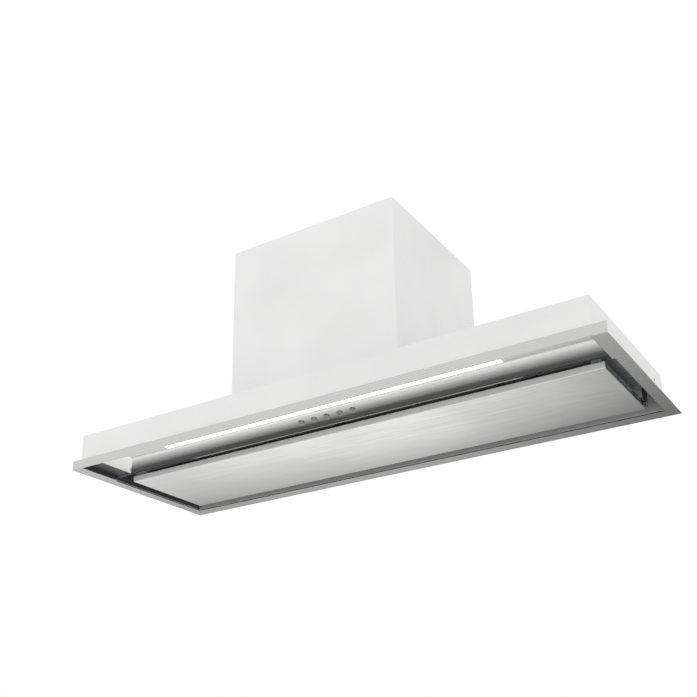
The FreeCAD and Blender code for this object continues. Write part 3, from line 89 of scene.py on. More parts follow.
# Strength of the world's light on the hood, where 1 is white
SOFT_LEVEL = 0.95
SENSOR_WIDTH = 36
CAMERA_PLACE = (0.7739, -1.2703, -0.5469)
CAMERA_TURN = (111.222, 0.966, 32.332)
LIGHT_TARGET = (0, 0, 0.15)
# Name, place, side in metres and power in watts
LIGHTS = (
    ("key_light", (-1.4, -1.3, 2.9), 2.0, 20),
    ("fill_light", (2.4, -0.6, 2.3), 1.8, 5),
)


def linear(hex_colour):
    """A linear colour from an sRGB hex value."""
    parts = [int(hex_colour[i:i + 2], 16) / 255 for i in (1, 3, 5)]
    return tuple(c / 12.92 if c <= 0.04045 else ((c + 0.055) / 1.055) ** 2.4 for c in parts)


def colour(name, description, hex_colour):
    """A colour that a user can change."""
    return FloatVectorProperty(
        name=name, description=description, subtype="COLOR", size=3, min=0, max=1,
        default=linear(hex_colour),
    )


def length(name, description, millimetres):
    """A length that a user can change."""
    return FloatProperty(
        name=name, description=description, subtype="DISTANCE", unit="LENGTH",
        default=millimetres * MM, min=0, precision=5,
    )


class HoodColours(PropertyGroup):
    """Colours of the finishes."""

    steel: colour("Steel", "Brushed stainless sheet of the panel and the cove", "#F6F6F5")
    frame_steel: colour("Frame steel", "Brushed stainless sheet of the flange frame and buttons", "#DFDFDE")
    satin_lip: colour("Satin lip", "Blasted front lip of the flange frame", "#CACAC9")
    # Painted shade: dark grey on the lowest 1.1 mm of the cove, its sheared edge and rolled hem
    edge_shade: colour("Cut edge", "Sheared edge of the stainless sheet", "#6E6E6D")
    coat: colour("Coat", "Powder coat of the body and the motor housing", "#E9E9E9")
    coat_cloud: colour("Coat cloud", "Slightly greyer areas of the powder coat", "#E3E3E3")
    # Painted shade: the inside of the body, dark grey; also the cloud of the dark coats
    shade_and_cloud_grey: colour("Primer", "Grey back coat on the inside of the body", "#4A4B4D")
    # Painted shade: the inner face of the body's rear wall, lighter than the rest of the inside
    rear_shade_grey: colour("Bare rear", "Uncoated inside of the body's rear wall", "#ADADAD")
    bracket: colour("Bracket", "Dark coat of the brackets that hold the cove", "#3C3D3E")
    zinc: colour("Zinc", "Galvanised sheet inside", "#8E9194")
    zinc_flake: colour("Zinc flake", "Brighter spangles of the galvanised sheet", "#A9ACAF")
    plated: colour("Plated steel", "Zinc-plated catches, springs and hinge pins", "#D3D5D7")
    screw: colour("Screw", "Zinc-plated screws", "#BFC2C6")
    shaft: colour("Shaft", "Ground steel of the motor shaft and the flap axle", "#A9AAAC")
    filter_rim: colour("Filter rim", "Anodised rims of the filters", "#C4C6C8")
    aluminium: colour("Aluminium", "Strands of the filter mesh", "#B4B6B8")
    # Painted shade: the mesh openings are a flat dark colour in place of the shade seen through them
    gap_shade: colour("Mesh gap", "Dark lozenges between the strands", "#2A2B2C")
    lamp: colour("Lamp", "Light of the lamp window", "#FFFDF8")
    acrylic: colour("Acrylic", "Opal window of the lamp when it is off", "#F7F6F2")
    lamp_channel: colour("Lamp channel", "Anodised channel behind the lamp window", "#C9CACC")
    lamp_board: colour("Lamp board", "White board that carries the diodes", "#E8E7E3")
    mark: colour("Button mark", "Printed marks on the buttons", "#6F7072")
    black_plastic: colour("Black plastic", "Moulded collar, flaps, latches and carrier", "#1D1E1F")
    grey_plastic: colour("Grey plastic", "Moulded scroll halves", "#63666A")
    wheel: colour("Wheel", "Moulded impeller", "#17181A")
    motor: colour("Motor", "Paint of the motor", "#7C8085")
    capacitor: colour("Capacitor", "Case of the capacitor", "#DEDCD5")
    pale_plastic: colour("Pale plastic", "Electric boxes on top", "#D4D4D0")
    board: colour("Circuit board", "Solder mask", "#1F6B3C")
    floor: colour("Floor", "Pale studio floor", "#F4F4F3")


class HoodSizes(PropertyGroup):
    """Sizes of the pieces that are added here."""

    mark_width: length("Mark width", "Line width of the button marks", 0.75)
    mark_radius: length("Mark radius", "Outer radius of the button marks", 2.7)
    mark_height: length("Mark height", "Height of the print on the buttons", 0.1)
    recess_width: length("Recess width", "Width of the cross recess in a screw", 0.9)
    recess_length: length("Recess length", "Length of the cross recess in a screw", 4.2)
    lid_screw_in: length("Lid screw inset", "From the lid's edges to its screws", 8)
    grain: length("Brush grain", "Spacing of the brushing, drawn coarse so that it shows", 1.6)


class HoodStage(PropertyGroup):
    """Studio."""

    floor_level: FloatProperty(
        name="Floor level", unit="LENGTH", subtype="DISTANCE", default=-1.6,
        description="Height of the studio floor, as far below the hood as a kitchen floor",
    )
    lens: FloatProperty(
        name="Lens", description="Focal length in millimetres", default=53.34, min=10, subtype="NONE",
    )
    shift: FloatProperty(
        name="Shift", description="Upward shift of the lens", default=0.11, subtype="FACTOR",
    )


def solid(rgb, shade=1):
    """A colour with its alpha, as sockets take it."""
    return (*(part * shade for part in rgb), 1)


def first_output(node):
    """The output that a node's settings leave on."""
    return next(socket for socket in node.outputs if socket.enabled)


def add_node(tree, kind, inputs=(), to=None, **settings):
    """Add a node with its settings and links. An input takes a value, a node or one output of a node."""
    node = tree.nodes.new(kind)
    for name, setting in settings.items():
        setattr(node, name, setting)
    for name, source in dict(inputs).items():
        if isinstance(source, bpy.types.Node):
            source = first_output(source)
        if isinstance(source, bpy.types.NodeSocket):
            tree.links.new(source, node.inputs[name])
        else:
            node.inputs[name].default_value = source
    if to:
        tree.links.new(first_output(node), to)
    return node


def new_material(name, **shader_values):
    """A material with a Principled shader whose constant values are set on its own sockets."""
    material = bpy.data.materials.new(name)
    material.use_nodes = True
    tree = material.node_tree
    sockets = tree.nodes["Principled BSDF"].inputs
    for socket, number in shader_values.items():
        sockets[socket.replace("_", " ")].default_value = number
    coords = add_node(tree, "ShaderNodeTexCoord").outputs["Object"]
    return material, tree, sockets, coords


def brushed_steel(name, rgb, roughness):
    """Stainless sheet, belt-brushed along the hood: long streaks blur the reflection across the grain."""
    material, tree, sockets, coords = new_material(name, Metallic=1)
    # The real grain is about 0.1 mm wide, drawn coarse so that it shows
    across = 1 / bpy.context.scene.hood_sizes.grain
    scale = (1 / (90 * MM), across, across)
    drawn = add_node(tree, "ShaderNodeMapping", {"Vector": coords, "Scale": scale})
    grain = add_node(
        tree, "ShaderNodeTexNoise", {"Vector": drawn, "Scale": 1, "Detail": 3, "Roughness": 0.6},
    )
    streak = add_node(tree, "ShaderNodeMapRange", {"Value": grain, **NOISE_SPAN})
    tones = {0: streak, 6: solid(rgb), 7: solid(rgb, 0.95)}
    add_node(tree, "ShaderNodeMix", tones, sockets["Base Color"], data_type="RGBA")
    # Handling leaves wide soft patches in the polish
    patch = add_node(tree, "ShaderNodeTexNoise", {"Vector": coords, "Scale": 1 / (140 * MM), "Detail": 2})
    haze = add_node(
        tree, "ShaderNodeMapRange",
        {"Value": patch, **NOISE_SPAN, "To Min": roughness - 0.05, "To Max": roughness},
    )
    blur = {0: streak, 1: 0.07, 2: haze}
    add_node(tree, "ShaderNodeMath", blur, sockets["Roughness"], operation="MULTIPLY_ADD")
    relief = {"Height": grain, "Distance": 0.02 * MM, "Strength": 0.25}
    add_node(tree, "ShaderNodeBump", relief, sockets["Normal"])
    return material


def powder_coat(name, rgb, cloud_rgb, roughness=0.42):
    """Baked powder coat: an even satin colour with the faint orange peel of the powder."""
    material, tree, sockets, coords = new_material(name, IOR=1.5)
    drift = add_node(tree, "ShaderNodeTexNoise", {"Vector": coords, "Scale": 1 / (120 * MM), "Detail": 2})
    cloud = add_node(tree, "ShaderNodeMapRange", {"Value": drift, **NOISE_SPAN})
    tones = {0: cloud, 6: solid(rgb), 7: solid(cloud_rgb)}
    add_node(tree, "ShaderNodeMix", tones, sockets["Base Color"], data_type="RGBA")
    blur = {0: cloud, 1: 0.08, 2: roughness - 0.03}
    add_node(tree, "ShaderNodeMath", blur, sockets["Roughness"], operation="MULTIPLY_ADD")
    peel = add_node(tree, "ShaderNodeTexNoise", {"Vector": coords, "Scale": 1 / (2.2 * MM), "Detail": 1})
    relief = {"Height": peel, "Distance": 0.03 * MM, "Strength": 0.5}
    add_node(tree, "ShaderNodeBump", relief, sockets["Normal"])
    return material


def shade_inside(material, node):
    """The inside of the body is painted dark grey as painted shade of the cavity, and the inner face of its
    rear wall a lighter grey, as painted shade where more light falls."""
    tree = material.node_tree
    base = tree.nodes["Principled BSDF"].inputs["Base Color"]
    coat = base.links[0].from_socket
    low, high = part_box(node)
    half_sheet = 0.5 * MM
    rear_reach = 2 * MM
    coords = add_node(tree, "ShaderNodeTexCoord").outputs["Object"]
    axes = add_node(tree, "ShaderNodeSeparateXYZ", {"Vector": coords})
    inside = None
    for axis, start in (("X", low.x + half_sheet), ("Y", low.y + half_sheet), ("Z", low.z - high.z)):
        end = high["XYZ".index(axis)] - half_sheet
        span = {0: axes.outputs[axis], 1: (start + end) / 2, 2: (end - start) / 2}
        within = add_node(tree, "ShaderNodeMath", span, operation="COMPARE")
        if inside:
            within = add_node(tree, "ShaderNodeMath", {0: inside, 1: within}, operation="MULTIPLY")
        inside = within
    colours = bpy.context.scene.hood_colours
    rear = {0: axes.outputs["Y"], 1: high.y, 2: rear_reach}
    tones = {
        0: add_node(tree, "ShaderNodeMath", rear, operation="COMPARE"),
        6: solid(colours.shade_and_cloud_grey), 7: solid(colours.rear_shade_grey),
    }
    # Painted shade: dark grey inside, lighter grey on the rear wall's inner face
    inside_shade = add_node(tree, "ShaderNodeMix", tones, data_type="RGBA")
    tones = {0: inside, 6: coat, 7: inside_shade}
    add_node(tree, "ShaderNodeMix", tones, base, data_type="RGBA")
    return material


def darken_lower_edge(material, node):
    """The lower edge of a sheet is sheared and its hem rolled; their lowest 1.1 mm is painted dark grey as
    painted shade.
    """
    tree = material.node_tree
    base = tree.nodes["Principled BSDF"].inputs["Base Color"]
    brushed = base.links[0].from_socket
    coords = add_node(tree, "ShaderNodeTexCoord").outputs["Object"]
    height = add_node(tree, "ShaderNodeSeparateXYZ", {"Vector": coords}).outputs["Z"]
    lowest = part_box(node)[0].z
    hem = 1.1 * MM
    # Painted shade: the lowest 1.1 mm of the sheet turns dark grey
    sheared = add_node(tree, "ShaderNodeMath", {0: height, 1: lowest, 2: hem}, operation="COMPARE")
    tones = {0: sheared, 6: brushed, 7: solid(bpy.context.scene.hood_colours.edge_shade)}
    add_node(tree, "ShaderNodeMix", tones, base, data_type="RGBA")
    return material


def satin_front(material, node, rgb):
    """The upturned front of a sheet is bead-blasted, so it is an even satin grey from all sides."""
    tree = material.node_tree
    sockets = tree.nodes["Principled BSDF"].inputs
    coords = add_node(tree, "ShaderNodeTexCoord").outputs["Object"]
    depth = add_node(tree, "ShaderNodeSeparateXYZ", {"Vector": coords}).outputs["Y"]
    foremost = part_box(node)[0].y
    blasted = 3.2 * MM
    front = add_node(tree, "ShaderNodeMath", {0: depth, 1: foremost, 2: blasted}, operation="COMPARE")
    tones = {0: front, 6: sockets["Base Color"].links[0].from_socket, 7: solid(rgb)}
    add_node(tree, "ShaderNodeMix", tones, sockets["Base Color"], data_type="RGBA")
    add_node(tree, "ShaderNodeMapRange", {"Value": front, "To Min": 1, "To Max": 0.35}, sockets["Metallic"])
    return material


def galvanised_steel(name):
    """Hot-dipped sheet: crystal spangles of about 9 mm under a dull, half metallic skin of zinc oxide."""
    colours = bpy.context.scene.hood_colours
    material, tree, sockets, coords = new_material(name, Metallic=0.55)
    crystals = add_node(tree, "ShaderNodeTexVoronoi", {"Vector": coords, "Scale": 1 / (9 * MM)})
    grey = add_node(tree, "ShaderNodeRGBToBW", {"Color": crystals.outputs["Color"]})
    spangle = add_node(tree, "ShaderNodeMapRange", {"Value": grey, **NOISE_SPAN})
    tones = {0: spangle, 6: solid(colours.zinc), 7: solid(colours.zinc_flake)}
    add_node(tree, "ShaderNodeMix", tones, sockets["Base Color"], data_type="RGBA")
    blur = {0: spangle, 1: 0.18, 2: 0.4}
    add_node(tree, "ShaderNodeMath", blur, sockets["Roughness"], operation="MULTIPLY_ADD")
    return material


def moulded_plastic(name, rgb, roughness, grain_mm):
    """Injection-moulded plastic: an even colour with the fine spark-eroded grain of its mould."""
    material, tree, sockets, coords = new_material(name, IOR=1.53)
    flow = add_node(tree, "ShaderNodeTexNoise", {"Vector": coords, "Scale": 1 / (60 * MM), "Detail": 2})
    cloud = add_node(tree, "ShaderNodeMapRange", {"Value": flow, **NOISE_SPAN})
    tones = {0: cloud, 6: solid(rgb), 7: solid(rgb, 0.86)}
    add_node(tree, "ShaderNodeMix", tones, sockets["Base Color"], data_type="RGBA")
    grain = add_node(
        tree, "ShaderNodeTexNoise", {"Vector": coords, "Scale": 1 / (grain_mm * MM), "Detail": 2},
    )
    blur = {"Value": grain, **NOISE_SPAN, "To Min": roughness - 0.06, "To Max": roughness + 0.08}
    add_node(tree, "ShaderNodeMapRange", blur, sockets["Roughness"])
    relief = {"Height": grain, "Distance": 0.05 * MM, "Strength": 0.5}
    add_node(tree, "ShaderNodeBump", relief, sockets["Normal"])
    return material


def drawn_metal(name, rgb, roughness, metallic=1):
    """Drawn or turned metal: fine die lines along its length. Under a matt skin it is only part metallic."""
    material, tree, sockets, coords = new_material(name, Metallic=metallic)
    scale = (1 / (70 * MM), 1 / (1.2 * MM), 1 / (1.2 * MM))
    drawn = add_node(tree, "ShaderNodeMapping", {"Vector": coords, "Scale": scale})
    lines = add_node(tree, "ShaderNodeTexNoise", {"Vector": drawn, "Scale": 1, "Detail": 2})
    streak = add_node(tree, "ShaderNodeMapRange", {"Value": lines, **NOISE_SPAN})
    tones = {0: streak, 6: solid(rgb), 7: solid(rgb, 0.82)}
    add_node(tree, "ShaderNodeMix", tones, sockets["Base Color"], data_type="RGBA")
    blur = {0: streak, 1: 0.12, 2: roughness - 0.05}
    add_node(tree, "ShaderNodeMath", blur, sockets["Roughness"], operation="MULTIPLY_ADD")
    return material


def expanded_mesh(name):
    """Layers of expanded aluminium: bright strands round lozenges of about 6 by 4 mm, painted dark as
    painted shade in the openings.
    """
    colours = bpy.context.scene.hood_colours
    material, tree, sockets, coords = new_material(name, Metallic=1, Roughness=0.45)
    scale = (1 / (6 * MM), 1 / (4 * MM), 1 / (6 * MM))
    drawn = add_node(tree, "ShaderNodeMapping", {"Vector": coords, "Scale": scale})
    cells = add_node(tree, "ShaderNodeTexVoronoi", {"Vector": drawn, "Scale": 1, "Randomness": 0.25})
    strands = add_node(tree, "ShaderNodeMapRange", {"Value": cells, "From Min": 0.2, "From Max": 0.5})
    # Painted shade: the lozenges between the strands are dark grey
    tones = {0: strands, 6: solid(colours.gap_shade), 7: solid(colours.aluminium)}
    add_node(tree, "ShaderNodeMix", tones, sockets["Base Color"], data_type="RGBA")
    add_node(tree, "ShaderNodeBump", {"Height": strands, "Distance": 0.8 * MM}, sockets["Normal"])
    return material


def lamp_window(name):
    """Opal acrylic in front of the diodes: an even white glow with a soft falloff at its long edges."""
    colours = bpy.context.scene.hood_colours
    material, tree, sockets, coords = new_material(
        name, Base_Color=solid(colours.acrylic), Roughness=0.4, IOR=1.49, Emission_Color=solid(colours.lamp),
    )
    low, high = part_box("lamp_diffuser")
    half = (high.y - low.y) / 2
    centred = {"Vector": coords, "Location": (0, -(low.y + half) / half, 0), "Scale": (0, 1 / half, 0)}
    place = add_node(tree, "ShaderNodeMapping", centred)
    across = add_node(tree, "ShaderNodeTexGradient", {"Vector": place}, gradient_type="SPHERICAL")
    glow = {"Value": across.outputs["Fac"], "To Min": 0.7, "To Max": 4}
    add_node(tree, "ShaderNodeMapRange", glow, sockets["Emission Strength"])
    return material


def circuit_board(name):
    """Glass-epoxy board: green solder mask over the ridges of its copper tracks."""
    rgb = bpy.context.scene.hood_colours.board
    material, tree, sockets, coords = new_material(name, Roughness=0.35, IOR=1.5)
    scale = (1 / (3 * MM), 1 / (3 * MM), 0)
    drawn = add_node(tree, "ShaderNodeMapping", {"Vector": coords, "Scale": scale})
    tracks = add_node(tree, "ShaderNodeTexBrick", {"Vector": drawn, "Scale": 1}).outputs["Fac"]
    tones = {0: tracks, 6: solid(rgb, 1.5), 7: solid(rgb)}
    add_node(tree, "ShaderNodeMix", tones, sockets["Base Color"], data_type="RGBA")
    add_node(tree, "ShaderNodeBump", {"Height": tracks, "Distance": 0.05 * MM}, sockets["Normal"])
    return material


def foam_rubber(name):
    """Closed-cell foam: a dull black with pores of about a millimetre, each darker towards its middle as
    painted shade.
    """
    rgb = bpy.context.scene.hood_colours.black_plastic
    material, tree, sockets, coords = new_material(name, Roughness=0.95)
    pores = add_node(tree, "ShaderNodeTexVoronoi", {"Vector": coords, "Scale": 1 / (1.2 * MM)})
    # Painted shade: each pore is darker towards its middle
    tones = {0: pores, 6: solid(rgb, 0.5), 7: solid(rgb)}
    add_node(tree, "ShaderNodeMix", tones, sockets["Base Color"], data_type="RGBA")
    add_node(tree, "ShaderNodeBump", {"Height": pores, "Distance": 0.3 * MM}, sockets["Normal"])
    return material


def pad_print(name, rgb):
    """Pad-printed ink, slightly thinner in places."""
    material, tree, sockets, coords = new_material(name, Roughness=0.55)
    film = add_node(tree, "ShaderNodeTexNoise", {"Vector": coords, "Scale": 1 / (0.8 * MM), "Detail": 2})
    wear = add_node(tree, "ShaderNodeMapRange", {"Value": film, **NOISE_SPAN})
    tones = {0: wear, 6: solid(rgb), 7: solid(rgb, 1.6)}
    add_node(tree, "ShaderNodeMix", tones, sockets["Base Color"], data_type="RGBA")
    return material


def dress(material, *names):
    """Give CAD nodes a finish."""
    for name in names:
        for holder in frame["nodes"][name].material_slots:
            holder.material = material


def deselect():
    """Let go of everything, because an operator acts on all that is selected."""
    bpy.ops.object.select_all(action="DESELECT")


def only(piece):
    """Select one piece alone."""
    deselect()
    piece.select_set(True)
    bpy.context.view_layer.objects.active = piece


def select_faces(piece, wanted):
    """Select faces in edit mode by a test on each, and leave edit mode on."""
    bpy.ops.object.mode_set(mode="EDIT")
    bpy.ops.mesh.select_mode(type="FACE")
    bpy.ops.mesh.select_all(action="DESELECT")
    bpy.ops.object.mode_set(mode="OBJECT")
    for face in piece.data.polygons:
        face.select = wanted(face)
    bpy.ops.object.mode_set(mode="EDIT")


def thicken(piece, height):
    """Give a flat outline its height, half of it on each side."""
    only(piece)
    solidify = piece.modifiers.new("thickness", "SOLIDIFY")
    solidify.thickness = height
    solidify.offset = 0
    bpy.ops.object.modifier_apply(modifier=solidify.name)


def join(pieces):
    """Make one piece of several."""
    deselect()
    for piece in pieces:
        piece.select_set(True)
    bpy.context.view_layer.objects.active = pieces[0]
    if len(pieces) > 1:
        bpy.ops.object.join()
    return bpy.context.view_layer.objects.active


def settle(piece, name, material, body):
    """Apply a piece's place, turn its faces outwards, and hand it over to a body of the hood."""
    only(piece)
    bpy.ops.object.transform_apply(location=True, rotation=True, scale=True)
    bpy.ops.object.mode_set(mode="EDIT")
    bpy.ops.mesh.select_all(action="SELECT")
    bpy.ops.mesh.remove_doubles(threshold=ONE_POINT)
    bpy.ops.mesh.normals_make_consistent(inside=False)
    bpy.ops.object.mode_set(mode="OBJECT")
    bpy.ops.object.shade_smooth_by_angle(angle=math.radians(SMOOTH_ANGLE))
    piece.name = name
    piece.data.materials.clear()
    piece.data.materials.append(material)
    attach(piece, body)


def ring_outline(radius, width, gap_degrees=0):
    """A flat ring, open by a gap at its top for the power mark."""
    deselect()
    bpy.ops.mesh.primitive_circle_add(vertices=40, radius=radius)
    ring = bpy.context.object
    bpy.ops.object.mode_set(mode="EDIT")
    bpy.ops.mesh.select_all(action="SELECT")
    bpy.ops.mesh.extrude_edges_move()
    factor = (radius - width) / radius
    bpy.ops.transform.resize(value=(factor, factor, 1))
    bpy.ops.object.mode_set(mode="OBJECT")
    if gap_degrees:
        limit = math.radians(gap_degrees / 2)
        select_faces(ring, lambda face: abs(math.atan2(face.center.x, face.center.y)) < limit)
        bpy.ops.mesh.delete(type="FACE")
        bpy.ops.object.mode_set(mode="OBJECT")
    return ring


def bar_outline(bar_length, width, x=0.0, y=0.0, turn=0.0):
    """A flat bar with rounded ends."""
    deselect()
    bpy.ops.mesh.primitive_plane_add(size=1)
    bar = bpy.context.object
    bpy.ops.object.mode_set(mode="EDIT")
    bpy.ops.transform.resize(value=(width, bar_length, 1))
    bpy.ops.mesh.bevel(offset=width * 0.48, segments=4, affect="VERTICES")
    bpy.ops.object.mode_set(mode="OBJECT")
    bar.rotation_euler = (0, 0, turn)
    bar.location = (x, y, 0)
    bpy.ops.object.transform_apply(location=True, rotation=True, scale=True)
    return bar


def cross_outline(size, width):
    """A flat plus sign, a square whose four edges are drawn out."""
    deselect()
    bpy.ops.mesh.primitive_plane_add(size=width)
    cross = bpy.context.object
    for direction in (Vector((1, 0, 0)), Vector((-1, 0, 0)), Vector((0, 1, 0)), Vector((0, -1, 0))):
        bpy.ops.object.mode_set(mode="EDIT")
        bpy.ops.mesh.select_mode(type="EDGE")
        bpy.ops.mesh.select_all(action="DESELECT")
        bpy.ops.object.mode_set(mode="OBJECT")
        points = cross.data.vertices
        for edge in cross.data.edges:
            ends = [points[i].co.dot(direction) for i in edge.vertices]
            edge.select = min(ends) > width * 0.49 and max(ends) < width * 0.51
        bpy.ops.object.mode_set(mode="EDIT")
        reach = direction * (size - width) / 2
        bpy.ops.mesh.extrude_edges_move(TRANSFORM_OT_translate={"value": reach})
        bpy.ops.object.mode_set(mode="OBJECT")
    return cross


def spokes(count, bar_length, width, reach):
    """Flat bars all round, each at a reach from the middle."""
    turns = [2 * math.pi * n / count for n in range(count)]
    return [bar_outline(bar_length, width, reach * math.sin(a), reach * math.cos(a), -a) for a in turns]


def button_mark(number, radius, width):
    """The outlines of one button's mark: lamp, less, fan, more, power."""
    if number == 1:
        return [ring_outline(radius * 0.62, width), *spokes(4, radius * 0.3, width * 0.8, radius * 0.9)]
    if number == 2:
        return [bar_outline(radius * 1.7, width, turn=math.pi / 2)]
    if number == 3:
        return [ring_outline(radius * 0.3, width * 0.6), *spokes(3, radius * 0.62, width, radius * 0.66)]
    if number == 4:
        return [cross_outline(radius * 1.7, width)]
    return [ring_outline(radius * 0.9, width, 70), bar_outline(radius * 0.9, width, 0, radius * 0.5)]


def press_axis(number):
    """A button's pressing direction, from its joint."""
    joint = next(j for j in frame["joints"] if j["name"] == f"button_{number}_press")
    return Vector(joint["axis"]).normalized()


def cap_face(number):
    """The middle of a button's outer face and its turn out of the flat."""
    axis = press_axis(number)
    points = [vertex.co for vertex in frame["nodes"][f"button_{number}"].data.vertices]
    nearest = min(point.dot(axis) for point in points)
    face = [point for point in points if point.dot(axis) < nearest + ONE_FACE]
    middle = sum(face, Vector()) / len(face)
    low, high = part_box(f"button_{number}")
    middle.x = (low.x + high.x) / 2
    return middle, -math.atan2(axis.y, axis.z)


def screw_seats(node, axis):
    """The middle of each screw head's crown in a CAD group."""
    points = [vertex.co for vertex in frame["nodes"][node].data.vertices]
    crown = max(point.dot(axis) for point in points)
    seats = []
    for point in points:
        if point.dot(axis) < crown - ONE_FACE:
            continue
        near = next((seat for seat in seats if (seat[0] - point).length < SEAT_REACH), None)
        if near:
            near.append(point)
        else:
            seats.append([point])
    middles = []
    for seat in seats:
        low = Vector(min(p[i] for p in seat) for i in range(3))
        high = Vector(max(p[i] for p in seat) for i in range(3))
        middles.append((low + high) / 2)
    return middles


def model_screw(radius, height, shank):
    """A pan-head screw with a cross recess, its crown at the origin and its shank down."""
    sizes = bpy.context.scene.hood_sizes
    deselect()
    middle = (0, 0, -height / 2)
    bpy.ops.mesh.primitive_cylinder_add(vertices=32, radius=radius, depth=height, location=middle)
    head = bpy.context.object
    bpy.ops.object.transform_apply(location=True, rotation=True, scale=True)
    select_faces(head, lambda face: face.normal.z > 0.9)
    bpy.ops.mesh.bevel(offset=height * 0.5, segments=4, affect="EDGES")
    bpy.ops.object.mode_set(mode="OBJECT")
    select_faces(head, lambda face: face.normal.z < -0.9)
    bpy.ops.mesh.inset(thickness=radius - SHANK_RADIUS)
    bpy.ops.mesh.extrude_region_move(TRANSFORM_OT_translate={"value": (0, 0, -shank)})
    bpy.ops.object.mode_set(mode="OBJECT")
    cutter = cross_outline(sizes.recess_length * radius / SCREW[0], sizes.recess_width)
    thicken(cutter, height * 0.9)
    only(head)
    recess = head.modifiers.new("recess", "BOOLEAN")
    recess.operation = "DIFFERENCE"
    recess.solver = "EXACT"
    recess.object = cutter
    bpy.ops.object.modifier_apply(modifier=recess.name)
    only(cutter)
    bpy.ops.object.delete()
    return head


def copies_at(model, places, turn):
    """Copies of a model, each with its own mesh, joined into one piece. The model itself goes."""
    copies = []
    for index, place in enumerate(places):
        only(model)
        bpy.ops.object.duplicate(linked=False)
        copy = bpy.context.object
        spin = Euler((0, 0, math.radians(SCREW_TURN * index)))
        copy.rotation_euler = (turn.to_matrix() @ spin.to_matrix()).to_euler()
        copy.location = place
        bpy.ops.object.transform_apply(location=True, rotation=True, scale=True)
        copies.append(copy)
    only(model)
    bpy.ops.object.delete()
    return join(copies)


def soft_light(name, place, size, power):
    """A square soft box, turned to the hood."""
    light = bpy.data.lights.new(name, "AREA")
    light.shape = "SQUARE"
    light.size = size
    light.energy = power
    holder = bpy.data.objects.new(name, light)
    holder.location = place
    aim = Vector(LIGHT_TARGET) - Vector(place)
    holder.rotation_euler = aim.to_track_quat("-Z", "Y").to_euler()
    bpy.context.scene.collection.objects.link(holder)


def studio_floor(name):
    """Pale painted floor. The camera sees it nearly white and fading to white far away. Polished metal sees
    a
    painted reflection in it: darker under the hood, far behind it and at the sides."""
    rgb = bpy.context.scene.hood_colours.floor
    material, tree, _, coords = new_material(name, Base_Color=solid(rgb), Roughness=0.9)
    paint = tree.nodes["Principled BSDF"]
    path = add_node(tree, "ShaderNodeLightPath").outputs
    axes = add_node(tree, "ShaderNodeSeparateXYZ", {"Vector": coords}).outputs
    fall = {}
    for zone, (axis, start, end, first, last) in PAINTED_REFLECTION.items():
        span = {"Value": axes[axis], "From Min": start, "From Max": end, "To Min": first, "To Max": last}
        fall[zone] = add_node(tree, "ShaderNodeMapRange", span)
    sides = add_node(tree, "ShaderNodeMath", {0: fall["right"], 1: fall["left"]}, operation="MULTIPLY")
    side = add_node(tree, "ShaderNodeMix", {0: fall["deep"], 2: 1, 3: sides})
    near = add_node(tree, "ShaderNodeMath", {0: fall["under"], 1: fall["ahead"]}, operation="MAXIMUM")
    depth = add_node(tree, "ShaderNodeMath", {0: near, 1: fall["far"]}, operation="MULTIPLY")
    level = add_node(tree, "ShaderNodeMath", {0: depth, 1: side}, operation="MULTIPLY")
    # Painted reflection: the light that glossy and transmission rays get from the floor, darker by zone
    painted_reflection = add_node(tree, "ShaderNodeEmission", {"Strength": level})
    glow = add_node(tree, "ShaderNodeEmission", {"Strength": 1})
    away = add_node(tree, "ShaderNodeVectorMath", {0: coords}, operation="LENGTH")
    fade = add_node(tree, "ShaderNodeMapRange", {"Value": away, **FLOOR_FADE})
    lit = add_node(tree, "ShaderNodeMixShader", {0: fade, 1: paint, 2: glow})
    seen = add_node(tree, "ShaderNodeMixShader", {0: path["Is Camera Ray"], 1: paint, 2: lit})
    rays = {0: path["Is Glossy Ray"], 1: path["Is Transmission Ray"]}
    polished = add_node(tree, "ShaderNodeMath", rays, operation="MAXIMUM")
    surface = tree.nodes["Material Output"].inputs["Surface"]
    add_node(tree, "ShaderNodeMixShader", {0: polished, 1: seen, 2: painted_reflection}, surface)
    return material


def studio_world():
    """White to the camera and in reflections, and a plain soft level of light on the hood."""
    world = bpy.data.worlds.new("studio_world")
    world.use_nodes = True
    bpy.context.scene.world = world
    tree = world.node_tree
    path = add_node(tree, "ShaderNodeLightPath").outputs
    rays = {0: path["Is Glossy Ray"], 1: path["Is Transmission Ray"]}
    polished = add_node(tree, "ShaderNodeMath", rays, operation="MAXIMUM")
    rays = {0: path["Is Camera Ray"], 1: polished}
    seen = add_node(tree, "ShaderNodeMath", rays, operation="MAXIMUM")
    white = {"Color": solid((1, 1, 1)), "Strength": 1}
    backdrop = add_node(tree, "ShaderNodeBackground", white)
    soft = add_node(tree, "ShaderNodeBackground", {**white, "Strength": SOFT_LEVEL})
    surface = tree.nodes["World Output"].inputs["Surface"]
    add_node(tree, "ShaderNodeMixShader", {0: seen, 1: soft, 2: backdrop}, surface)


class HOOD_OT_trim(Operator):
    """Brush the frame and the suction panel"""

    bl_idname = "hood.trim"
    bl_label = "Frame and panel"

    def execute(self, context):
        colours = context.scene.hood_colours
        rim = brushed_steel("brushed_stainless_frame", colours.frame_steel, 0.25)
        dress(satin_front(rim, "trim_frame", colours.satin_lip), "trim_frame")
        panel = brushed_steel("brushed_stainless_panel", colours.steel, 0.13)
        dress(satin_front(panel, "suction_panel", colours.steel), "suction_panel")
        return {"FINISHED"}


